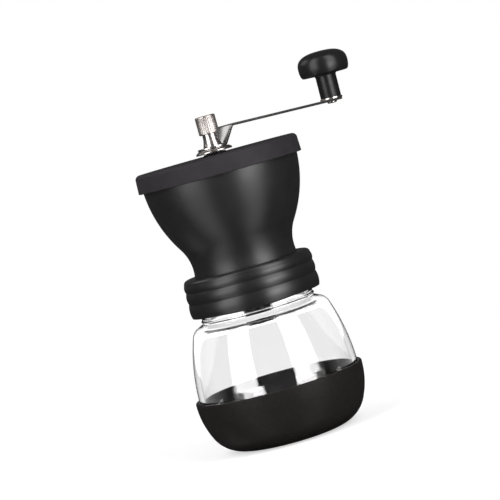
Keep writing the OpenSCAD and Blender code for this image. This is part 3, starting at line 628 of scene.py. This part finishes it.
# %% [markdown]
# ## The bridge
# The hub is a tube round the bushes. A spoke is a thin web from the hub to the wall: a box is
# placed at its size, its top edges are bevelled so that beans slide off, and it is copied round.
# Each web ends inside the hopper's wall, where it would be one with it.

# %% Hub and spokes
HUB_R = 7 * MM
HUB_EDGE = 0.4 * MM
BUSH_R = 5 * MM
BUSH_H = 7 * MM
BUSH_FLANGE_T = 1.2 * MM
SPOKE_T = 3 * MM
SPOKE_H = 13 * MM
SPOKES = 3
hub_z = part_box("lower_bush")[1].z - BUSH_H
hub_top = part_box("upper_bush")[1].z - BUSH_FLANGE_T
spoke_z = (hub_z + hub_top - SPOKE_H) / 2
hub = turned(
    "hopper_hub",
    [(BUSH_R, hub_z), (HUB_R - HUB_EDGE, hub_z), (HUB_R, hub_z + HUB_EDGE)],
    [(HUB_R, hub_top - HUB_EDGE), (HUB_R - HUB_EDGE, hub_top), (BUSH_R, hub_top)],
    steps=64,
)


def wall_reach(z):
    """Radius of the middle of the hopper's wall at a height."""
    if z > bulge_z - BULGE_R * math.sin(math.radians(tangent)):
        return bulge_x + math.sqrt((BULGE_R - HOPPER_WALL / 2) ** 2 - (z - bulge_z) ** 2)
    return waist_x - math.sqrt((waist_arc + HOPPER_WALL / 2) ** 2 - (z - waist_z) ** 2)


def spoke(name, turn):
    """One web: a block whose outer end follows the wall's slope, with eased edges."""
    deselect()
    bpy.ops.mesh.primitive_cube_add(size=1)
    web = bpy.context.object
    web.name = name
    foot, head = spoke_z, spoke_z + SPOKE_H
    for v in web.data.vertices:
        z = head if v.co.z > 0 else foot
        x = wall_reach(z) if v.co.x > 0 else BUSH_R + 0.8 * MM
        v.co = (x, SPOKE_T / 2 * (1 if v.co.y > 0 else -1), z)
    bpy.ops.object.mode_set(mode="EDIT")
    bpy.ops.mesh.select_all(action="SELECT")
    bpy.ops.mesh.subdivide(number_cuts=3)
    bpy.ops.object.mode_set(mode="OBJECT")
    for v in web.data.vertices:
        if v.co.x > HUB_R:
            v.co.x = min(v.co.x, wall_reach(v.co.z))
    bevelled(web, 0.6 * MM, segments=3, angle=50)
    bpy.ops.object.mode_set(mode="EDIT")
    bpy.ops.mesh.select_all(action="SELECT")
    bpy.ops.transform.rotate(value=turn, orient_axis="Z", center_override=(0, 0, 0))
    bpy.ops.object.mode_set(mode="OBJECT")
    return smoothed(web, 30)


webs = [spoke("hopper_web_%d" % i, i * 2 * math.pi / SPOKES) for i in range(SPOKES)]
for part in [hopper, hub, *webs]:
    placed(part, "mill", "hopper", hopper_black)
web_ends = (round(spoke_z, 4), round(spoke_z + SPOKE_H, 4))
print("bridge: hub and", len(webs), "webs, from and to", web_ends)

# %% [markdown]
# ## The collar
# Three low ribs run round the collar for grip, the lowest one tallest. Each is an arc, so the light
# draws a line on every crest. The top edge is a larger round. Inside runs the female thread, with
# the jar's own lead, set half a pitch higher so that the two ridges pass one another.

# %% Turn the collar
COLLAR_WALL = 2.9 * MM
COLLAR_TAPER = 0.3 * MM
COLLAR_EDGE = 0.3 * MM
COLLAR_THREAD_CREST_R = 31.9 * MM
COLLAR_THREAD_DROP = 9.2 * MM
RIB_HEIGHTS = (7.8 * MM, 6.4 * MM, 4.4 * MM)
RIB_DEPTHS = (0.6 * MM, 0.65 * MM, 0.5 * MM)
collar_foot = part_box("thread_collar")[0].z
collar_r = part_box("thread_collar")[1].x
collar_bore = collar_r - COLLAR_WALL
ribs = []
rib_foot = collar_foot
for i, (height, depth) in enumerate(zip(RIB_HEIGHTS, RIB_DEPTHS)):
    crest = collar_r - COLLAR_TAPER * i / (len(RIB_HEIGHTS) - 1)
    bow = ((height / 2) ** 2 + depth**2) / (2 * depth)
    half = math.degrees(math.asin(height / 2 / bow))
    ribs.append(arc(crest - bow, rib_foot + height / 2, bow, -half, half, 2))
    rib_foot += height
COLLAR_ROUND = collar_top - rib_foot
round_x = collar_r - COLLAR_TAPER - RIB_DEPTHS[-1] - COLLAR_ROUND
collar = turned(
    "collar_ring",
    [(collar_bore, collar_foot + COLLAR_EDGE), (collar_bore + COLLAR_EDGE, collar_foot)],
    [(collar_r - RIB_DEPTHS[0] - COLLAR_EDGE, collar_foot)],
    *ribs,
    arc(round_x, collar_top - COLLAR_ROUND, COLLAR_ROUND, 0, 90, 6),
    [(neck_r + 0.1 * MM, collar_top), (neck_r + 0.1 * MM, flange_top), (collar_bore, flange_top)],
    steps=160,
    angle=24,
)
collar_thread = thread_ridge(
    "collar_thread",
    collar_bore + 0.2 * MM,
    COLLAR_THREAD_CREST_R,
    jar_rim - COLLAR_THREAD_DROP,
    width=2.4 * MM,
    flat=1.0 * MM,
    turns=1.0,
)
smoothed(collar_thread, 30)
for part in (collar, collar_thread):
    placed(part, "mill", "thread_collar", collar_black)

# %% [markdown]
# ## The lid
# A shallow cap with a small draft on its skirt. Its boss stands round the shaft, and a lip below
# centres it in the hopper. The top dishes by a few tenths of a millimetre, as moulded discs do.

# %% Turn the lid
lid_low, lid_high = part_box("lid")
LID_SKIRT_T = 2.1 * MM
LID_GAP = 0.4 * MM
LID_ROUND = 2.6 * MM
LID_DRAFT = 0.3 * MM
BOSS_R = 6.3 * MM
BOSS_RISE = 1 * MM
BOSS_DROP = 5 * MM
LIP_H = 3.2 * MM
LIP_T = 1.5 * MM
LIP_EDGE = 0.4 * MM
LID_EDGE = 0.3 * MM
LID_BORE_R = 4.9 * MM
BOSS_FILLET = 0.8 * MM
DISH = 0.25 * MM
skirt_r = HOPPER_R + LID_GAP
lid_r = skirt_r + LID_SKIRT_T
lid_top = lid_high.z - BOSS_RISE
lip_r = HOPPER_R - HOPPER_WALL - LID_GAP
lid = turned(
    "lid_cap",
    [(LID_BORE_R, lid_high.z - 0.2 * MM), (LID_BORE_R, hopper_top - BOSS_DROP)],
    [(BOSS_R, hopper_top - BOSS_DROP), (BOSS_R, hopper_top), (lip_r - LIP_T, hopper_top)],
    [(lip_r - LIP_T, hopper_top - LIP_H), (lip_r - LIP_EDGE, hopper_top - LIP_H)],
    [(lip_r, hopper_top - LIP_H + LIP_EDGE), (lip_r, hopper_top), (skirt_r, hopper_top)],
    [(skirt_r, lid_low.z + LID_EDGE), (skirt_r + LID_EDGE, lid_low.z)],
    [(lid_r - LID_EDGE, lid_low.z), (lid_r, lid_low.z + LID_EDGE)],
    arc(lid_r - LID_DRAFT - LID_ROUND, lid_top - LID_ROUND, LID_ROUND, 0, 90, 9),
    [(lid_r * 0.8, lid_top - DISH * 0.5), (lid_r * 0.5, lid_top - DISH)],
    [(BOSS_R + 2 * MM, lid_top - DISH)],
    arc(BOSS_R + BOSS_FILLET, lid_top + BOSS_FILLET - DISH, BOSS_FILLET, 270, 180, 20),
    [(BOSS_R, lid_high.z - LID_EDGE), (BOSS_R - LID_EDGE, lid_high.z)],
    [(LID_BORE_R + 0.2 * MM, lid_high.z)],
    steps=160,
)
placed(lid, "lid_cover", "lid", lid_grey)

# %% [markdown]
# ## The knob
# A mushroom: a full dome over a straight stem that spins on a pin. It is turned upright round the
# Z axis. Then it is moved to its pin and tipped with the arm's droop, which its joint's axis gives.

# %% Turn the knob
KNOB_R = 14.5 * MM
HEAD_H = 13.6 * MM
WIDE_H = 5.2 * MM
UNDER_R = 12.7 * MM
STEM_R = 5.95 * MM
STEM_H = 13.8 * MM
STEM_FILLET = 1.4 * MM
STEM_EDGE = 0.4 * MM
STEM_BORE_R = 2.05 * MM
STEM_BORE_H = 18.1 * MM
STRIP_T = 1.2 * MM
KNOB_WASHER_T = 1 * MM
DOME_POWER = 0.74

spin = next(j for j in frame["joints"] if j["name"] == "knob_spin")
pin_x, pin_z = spin["pos_m"][0], spin["pos_m"][2]
droop = math.atan2(spin["axis"][0], spin["axis"][2])


def dome(steps=24):
    """The knob's upper side: an ellipse made fuller by a power below 1."""
    points = []
    for i in range(1, steps + 1):
        a = math.radians(90 * i / steps)
        across, up = max(0.0, math.cos(a)) ** DOME_POWER, math.sin(a) ** DOME_POWER
        points.append((KNOB_R * across, STEM_H + WIDE_H + (HEAD_H - WIDE_H) * up))
    points[-1] = (0, STEM_H + HEAD_H)
    return points


def underside():
    """The lower quarter of the head, from the underside's edge to the widest line."""
    angles = [math.radians(a) for a in range(-80, 1, 5)]
    across = KNOB_R - UNDER_R
    return [(UNDER_R + across * math.cos(a), STEM_H + WIDE_H * (1 + math.sin(a))) for a in angles]


knob = turned(
    "knob_head",
    [(0, STEM_BORE_H), (STEM_BORE_R, STEM_BORE_H), (STEM_BORE_R, 0)],
    arc(STEM_R - STEM_EDGE, STEM_EDGE, STEM_EDGE, -90, 0, 20),
    arc(STEM_R + STEM_FILLET, STEM_H - STEM_FILLET, STEM_FILLET, 180, 90, 9),
    [(UNDER_R - 0.3 * MM, STEM_H), (UNDER_R, STEM_H)],
    underside(),
    dome(),
    loop=False,
    steps=112,
    angle=38,
)


def at_pin(piece, height):
    """Moves an upright piece to the knob's pin, height above the strip's underside."""
    only(piece)
    bpy.ops.object.mode_set(mode="EDIT")
    bpy.ops.mesh.select_all(action="SELECT")
    bpy.ops.transform.translate(value=(pin_x, 0, pin_z + height))
    bpy.ops.transform.rotate(value=-droop, orient_axis="Y", center_override=(pin_x, 0, pin_z))
    bpy.ops.object.mode_set(mode="OBJECT")
    return piece


at_pin(knob, STRIP_T + KNOB_WASHER_T)
placed(knob, "grip", "knob", knob_black)
knob_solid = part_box("knob")[1]
mesh = [v.co for v in knob.data.vertices]
print("knob top:", round(max(v.z for v in mesh), 5), "solid:", round(knob_solid.z, 5))
print("knob outer side:", round(max(v.x for v in mesh), 5), "solid:", round(knob_solid.x, 5))

# %% [markdown]
# ## The handle nut
# The nut has a knurled cap for the fingers on a foot that flares like a bell. Both are turned. The
# knurl is made after the turning: the cap's rings have six points to a groove, and a cosine of
# their angle draws them in by a tenth of a millimetre. Foot and cap overlap inside the cap.

# %% Turn the nut
nut_low, nut_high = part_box("handle_nut")
CAP_R = 5.6 * MM
CAP_H = 10.2 * MM
CAP_ROUND = 0.8 * MM
NUT_NECK_R = 4.05 * MM
NUT_FOOT_R = 5.2 * MM
NUT_FOOT_EDGE = 0.5 * MM
NUT_FOOT_CHAMFER = 0.15 * MM
NUT_OVERLAP = 0.6 * MM  # how far the foot reaches into the cap
BELL_POWER = 2.2  # how late the foot flares
NUT_BORE_R = 2.55 * MM
NUT_CROWN = 3.6 * MM
GROOVES = 36
GROOVE_DEPTH = 0.13 * MM
STEPS_PER_GROOVE = 6
KNURL_START, KNURL_END = 0.9 * MM, 1.1 * MM  # plain bands below and above the knurl
BELL_STEPS = 10
cap_z = nut_high.z - CAP_H
bell_h = cap_z - nut_low.z - NUT_FOOT_EDGE
bell = []
for i in range(BELL_STEPS + 1):
    bell_r = NUT_NECK_R + (NUT_FOOT_R - NUT_NECK_R) * (1 - i / BELL_STEPS) ** BELL_POWER
    bell.append((bell_r, nut_low.z + NUT_FOOT_EDGE + bell_h * i / BELL_STEPS))
nut_foot = turned(
    "nut_foot",
    [(NUT_BORE_R, nut_low.z), (NUT_FOOT_R - NUT_FOOT_CHAMFER, nut_low.z)],
    [(NUT_FOOT_R, nut_low.z + NUT_FOOT_CHAMFER)],
    bell,
    [(NUT_NECK_R, cap_z + NUT_OVERLAP), (NUT_BORE_R, cap_z + NUT_OVERLAP)],
    steps=96,
)
knurl_low, knurl_high = cap_z + KNURL_START, nut_high.z - KNURL_END
nut_cap = turned(
    "nut_cap",
    [(0, nut_high.z - NUT_CROWN), (NUT_BORE_R, nut_high.z - NUT_CROWN), (NUT_BORE_R, cap_z)],
    [(CAP_R - 0.6 * MM, cap_z), (CAP_R, cap_z + 0.4 * MM), (CAP_R, knurl_low)],
    [(CAP_R, knurl_low + 0.2 * MM), (CAP_R, knurl_high - 0.2 * MM), (CAP_R, knurl_high)],
    arc(CAP_R - CAP_ROUND, nut_high.z - CAP_ROUND, CAP_ROUND, 0, 90, 15),
    [(0, nut_high.z)],
    loop=False,
    steps=GROOVES * STEPS_PER_GROOVE,
    angle=40,
)
for v in nut_cap.data.vertices:
    r = math.hypot(v.co.x, v.co.y)
    if r > CAP_R - 0.01 * MM and knurl_low + 0.1 * MM < v.co.z < knurl_high - 0.1 * MM:
        draw = 1 - GROOVE_DEPTH * (0.5 + 0.5 * math.cos(GROOVES * math.atan2(v.co.y, v.co.x))) / r
        v.co.x *= draw
        v.co.y *= draw
placed(nut_foot, "top_nut", "handle_nut", plated_steel)
placed(nut_cap, "top_nut", "handle_nut", knurl_shaded_steel)

# %% [markdown]
# ## Crank and washers
# These are the exact solids with their edges eased. The strip's edges get a small round and the
# shaft's flats a smaller one. The strip is waisted where it bends up from the nut, so the points
# of the lower bend are drawn in a little.

# %% Small metal parts
FITTINGS = [
    ("crank_arm", "crank", "crank_steel", strip_steel, 0.34),
    ("hub_washer", "crank", "crank_steel", plated_steel, 0.12),
    ("knob_washer", "crank", "crank_steel", plated_steel, 0.12),
    ("knob_pin", "crank", "shaft_steel", plated_steel, 0.08),
    ("drive_shaft", "drive", "shaft_steel", turned_steel, 0.08),
    ("spring_washer", "drive", "shaft_steel", turned_steel, 0.06),
    ("lock_plate", "cutter", "shaft_steel", turned_steel, 0.08),
    ("upper_bush", "bearing", "bush_brass", bush_brass, 0.1),
    ("lower_bush", "bearing", "bush_brass", bush_brass, 0.1),
]
WAIST = 0.62  # share of the strip's width that its lower bend keeps
BEND_START = 5.2 * MM
BEND_H = 4 * MM
for node, body, slot, finish, edge in FITTINGS:
    piece = placed(softened(node, edge * MM), body, node, finish)
    if node == "crank_arm":
        points = piece.data.vertices
        top = min(v.co.z for v in points) + BEND_H
        bend = [v for v in points if v.co.x > BEND_START and v.co.z < top]
        for v in bend:
            v.co.y *= WAIST
        print("waisted points:", len(bend))

# %% [markdown]
# ## The mill inside
# The burrs, their housing, the core, the adjuster and the spring keep their exact solids, because
# the teeth are right there already. They only need their finishes.

# %% Finishes of the mill
MILL_FINISHES = {
    "outer_burr": burr_ceramic,
    "inner_burr": burr_ceramic,
    "burr_housing": inner_black,
    "burr_core": inner_black,
    "adjuster_nut": inner_black,
    "burr_spring": spring_wire,
}
for node, finish in MILL_FINISHES.items():
    dressed(nodes[node], finish)
print("dressed solids:", len(MILL_FINISHES))

# %% [markdown]
# ## Floor and surroundings
# The floor is a wide disc and the world behind it is white. Both must look equally white, and a
# soft shadow must stay on the floor. So the camera sees the lit floor with a white glow added.
# The glow is weak near the grinder, where the shadow falls, and full farther out. Reflections see
# a dim world instead, which keeps black plastic black, as dark studio walls do. Clear glass needs
# the white too, so a ray that went through it counts as looking. A ray that the glass threw back
# sees white only toward the wall behind the grinder, which leaves dark lines in the glass. The
# floor's sheen is there for mirrors only.


# %% Light path switches
def remapped(tree, value, low, high, start=0.0, stop=1.0):
    """A value's stretch from start to stop, remapped to low to high."""
    node = tree.nodes.new("ShaderNodeMapRange")
    limits = {"From Min": start, "From Max": stop, "To Min": low, "To Max": high}
    for key, number in limits.items():
        node.inputs[key].default_value = number
    tree.links.new(value, node.inputs["Value"])
    return node.outputs["Result"]


def computed(tree, operation, a, b):
    """The result of one operation on two values, kept between 0 and 1."""
    node = tree.nodes.new("ShaderNodeMath")
    node.operation = operation
    node.use_clamp = True
    tree.links.new(a, node.inputs[0])
    tree.links.new(b, node.inputs[1])
    return node.outputs["Value"]


def ray_switch(tree, kind, *others):
    """1 for the named kinds of ray and 0 for all others."""
    path = tree.nodes.new("ShaderNodeLightPath")
    value = path.outputs[kind]
    for other in others:
        value = computed(tree, "MAXIMUM", value, path.outputs[other])
    return value


def looked_through(tree, place):
    """1 for a ray that glass let through, or threw toward the wall behind the grinder, else 0."""
    toward = tree.nodes.new("ShaderNodeVectorMath")
    toward.operation = "NORMALIZE"
    tree.links.new(place, toward.inputs[0])
    along = tree.nodes.new("ShaderNodeVectorMath")
    along.operation = "DOT_PRODUCT"
    tree.links.new(toward.outputs["Vector"], along.inputs[0])
    along.inputs[1].default_value = (-math.sin(VIEW_TURN), math.cos(VIEW_TURN), 0)
    wall = remapped(tree, along.outputs["Value"], 0, 1, *WALL_EDGE)
    straight = remapped(tree, ray_switch(tree, "Glossy Depth"), 1, 0)
    passed = computed(tree, "MAXIMUM", wall, straight)
    return computed(tree, "MULTIPLY", ray_switch(tree, "Is Transmission Ray"), passed)


def surroundings(tree, place):
    """How bright the studio is: white when looked at, dim in mirrors, a fill for the rest."""
    seen = computed(tree, "ADD", ray_switch(tree, "Is Camera Ray"), looked_through(tree, place))
    dim = remapped(tree, ray_switch(tree, "Is Glossy Ray", "Is Transmission Ray"), FILL, MIRRORED)
    return computed(tree, "MAXIMUM", seen, dim)


# %% Floor
FLOOR_R = 60.0
FLOOR_Z = -0.1 * MM
PAPER = 0.62
GLOW = 0.55
FADE_FROM, FADE_TO = 0.12, 0.3  # metres from the axis
SHEEN = 0.4
FILL = 0.2
MIRRORED = 0.08
CAMERA_AZIMUTH = -40.9
VIEW_TURN = math.radians(CAMERA_AZIMUTH)
WALL_EDGE = (-0.3, 0.2)  # where the wall's white starts and is full, as a cosine
deselect()
bpy.ops.mesh.primitive_circle_add(
    vertices=96, radius=FLOOR_R, fill_type="NGON", location=(0, 0, FLOOR_Z)
)
floor = bpy.context.object
floor.name = "floor"
floor_white = bpy.data.materials.new("floor_white")
floor_white.use_nodes = True
tree = floor_white.node_tree
tree.nodes.clear()
out = tree.nodes.new("ShaderNodeOutputMaterial")
paper = tree.nodes.new("ShaderNodeBsdfDiffuse")
paper.inputs["Color"].default_value = (PAPER, PAPER, PAPER, 1)
glow = tree.nodes.new("ShaderNodeEmission")
place = tree.nodes.new("ShaderNodeTexCoord").outputs["Object"]
seen = computed(tree, "ADD", ray_switch(tree, "Is Camera Ray"), looked_through(tree, place))
tree.links.new(remapped(tree, seen, 0, GLOW), glow.inputs["Strength"])
near = tree.nodes.new("ShaderNodeAddShader")
tree.links.new(paper.outputs["BSDF"], near.inputs[0])
tree.links.new(glow.outputs["Emission"], near.inputs[1])
far = tree.nodes.new("ShaderNodeEmission")
tree.links.new(surroundings(tree, place), far.inputs["Strength"])
reach = tree.nodes.new("ShaderNodeVectorMath")
reach.operation = "LENGTH"
tree.links.new(place, reach.inputs[0])
fade = tree.nodes.new("ShaderNodeMixShader")
faded = remapped(tree, reach.outputs["Value"], 0, 1, FADE_FROM, FADE_TO)
tree.links.new(faded, fade.inputs["Fac"])
tree.links.new(near.outputs["Shader"], fade.inputs[1])
tree.links.new(far.outputs["Emission"], fade.inputs[2])
sheen = tree.nodes.new("ShaderNodeBsdfGlossy")
sheen.inputs["Color"].default_value = (SHEEN, SHEEN, SHEEN, 1)
sheen.inputs["Roughness"].default_value = 0.1
pick = tree.nodes.new("ShaderNodeMixShader")
mirrored, sent = ray_switch(tree, "Is Glossy Ray"), ray_switch(tree, "Is Transmission Ray")
tree.links.new(computed(tree, "SUBTRACT", mirrored, sent), pick.inputs["Fac"])
tree.links.new(fade.outputs["Shader"], pick.inputs[1])
tree.links.new(sheen.outputs["BSDF"], pick.inputs[2])
tree.links.new(pick.outputs["Shader"], out.inputs["Surface"])
floor.data.materials.append(floor_white)

# %% World
world = bpy.data.worlds.new("studio")
scene.world = world
world.use_nodes = True
tree = world.node_tree
tree.nodes.clear()
out = tree.nodes.new("ShaderNodeOutputWorld")
sky = tree.nodes.new("ShaderNodeBackground")
sky.inputs["Color"].default_value = (1, 1, 1, 1)
way = tree.nodes.new("ShaderNodeTexCoord").outputs["Generated"]
tree.links.new(surroundings(tree, way), sky.inputs["Strength"])
tree.links.new(sky.outputs["Background"], out.inputs["Surface"])

# %% [markdown]
# ## Lamps
# Two tall softboxes stand left and right of the camera, so each gives the dark body one upright
# band of light. The right one is brighter. A small low lamp lights the sleeve, a weak one from
# above lifts the lid, and a wide one lights the grinder from behind. That one is kept out of
# reflections, because it would wipe out the dark outline of the glass. Clear glass mirrors a
# softbox only faintly, so a glowing card behind each stands for the box's hot middle. Only rays
# from mirror-smooth surfaces see the cards, which leaves the plastics as they are.


# %% Softboxes
def around(azimuth, distance, height):
    """A place at an azimuth round the grinder: 0 is the front and 90 the right side."""
    a = math.radians(azimuth)
    return (distance * math.sin(a), -distance * math.cos(a), height)


def softbox(name, azimuth, distance, height, size, power, aim=0.1):
    """An area lamp at a place round the grinder, aimed at a height on its axis."""
    deselect()
    bpy.ops.object.light_add(type="AREA", location=around(azimuth, distance, height))
    lamp = bpy.context.object
    lamp.name = name
    lamp.data.shape = "RECTANGLE"
    lamp.data.size, lamp.data.size_y = size
    lamp.data.energy = power
    lamp.visible_camera = False
    tilt = math.atan2(distance, height - aim)
    lamp.rotation_euler = (tilt, 0, math.radians(azimuth))
    return lamp


def glint_card(name, azimuth, distance, height, size, level):
    """A glowing card, seen only in mirror-smooth surfaces, with soft upright edges."""
    deselect()
    bpy.ops.mesh.primitive_plane_add(size=1, location=around(azimuth, distance, height))
    card = bpy.context.object
    card.name = name
    card.scale = (*size, 1)
    card.rotation_euler = (math.pi / 2, 0, math.radians(azimuth))
    card.visible_camera = card.visible_diffuse = card.visible_shadow = False
    hot = bpy.data.materials.new(name)
    hot.use_nodes = True
    tree = hot.node_tree
    tree.nodes.clear()
    out = tree.nodes.new("ShaderNodeOutputMaterial")
    shine = tree.nodes.new("ShaderNodeEmission")
    across = tree.nodes.new("ShaderNodeSeparateXYZ")
    tree.links.new(tree.nodes.new("ShaderNodeTexCoord").outputs["Object"], across.inputs["Vector"])
    side = tree.nodes.new("ShaderNodeMath")
    side.operation = "ABSOLUTE"
    tree.links.new(across.outputs["X"], side.inputs[0])
    soft = remapped(tree, side.outputs["Value"], 1, 0, 0.4, 0.5)
    seen = computed(tree, "MULTIPLY", ray_switch(tree, "Is Singular Ray"), soft)
    tree.links.new(remapped(tree, seen, 0, level), shine.inputs["Strength"])
    tree.links.new(shine.outputs["Emission"], out.inputs["Surface"])
    hot.cycles.emission_sampling = "NONE"
    card.data.materials.append(hot)
    return card


BOX_DISTANCE = 0.9
BOX_HEIGHT = 0.98
BOX_SIZE = (0.6, 2.0)
CARD_DISTANCE = 0.91
LEFT, RIGHT = CAMERA_AZIMUTH - 46, CAMERA_AZIMUTH + 44
softbox("box_left", LEFT, BOX_DISTANCE, BOX_HEIGHT, BOX_SIZE, 15.5, aim=BOX_HEIGHT)
softbox("box_right", RIGHT, BOX_DISTANCE, BOX_HEIGHT, BOX_SIZE, 17, aim=BOX_HEIGHT)
softbox("box_low", CAMERA_AZIMUTH + 36, 0.6, 0.12, (0.25, 0.24), 0.7, aim=0.12)
glint_card("glint_left", LEFT, CARD_DISTANCE, BOX_HEIGHT, BOX_SIZE, 7.5)
glint_card("glint_right", RIGHT, CARD_DISTANCE, BOX_HEIGHT, BOX_SIZE, 5.5)
softbox("box_top", CAMERA_AZIMUTH - 112, 0.7, 0.7, (0.5, 0.5), 1.2)
backdrop = softbox("backdrop", CAMERA_AZIMUTH + 180, 1.5, 0.5, (3.2, 1.0), 9)
backdrop.visible_glossy = False

# %% [markdown]
# ## Camera
# A long lens from a little above the lid, some 40 degrees to the left of the front. The camera is
# rolled, which tips the upright grinder to the left in the frame.

# %% Camera
CAMERA_DISTANCE = 1.25
CAMERA_HEIGHT = 0.1743
LENS = 165.2
PITCH, YAW, ROLL = -3.19, 0.1976, -15.6
deselect()
bpy.ops.object.camera_add(location=around(CAMERA_AZIMUTH, CAMERA_DISTANCE, CAMERA_HEIGHT))
camera = bpy.context.object
camera.data.lens = LENS
camera.data.sensor_width = 36
turn_z = Matrix.Rotation(math.radians(CAMERA_AZIMUTH - YAW), 4, "Z")
turn_x = Matrix.Rotation(math.radians(90 + PITCH), 4, "X")
turn_roll = Matrix.Rotation(math.radians(ROLL), 4, "Z")
camera.rotation_euler = (turn_z @ turn_x @ turn_roll).to_euler()
scene.camera = camera
scene.view_settings.view_transform = "Standard"
print("camera at", [round(v, 3) for v in camera.location])
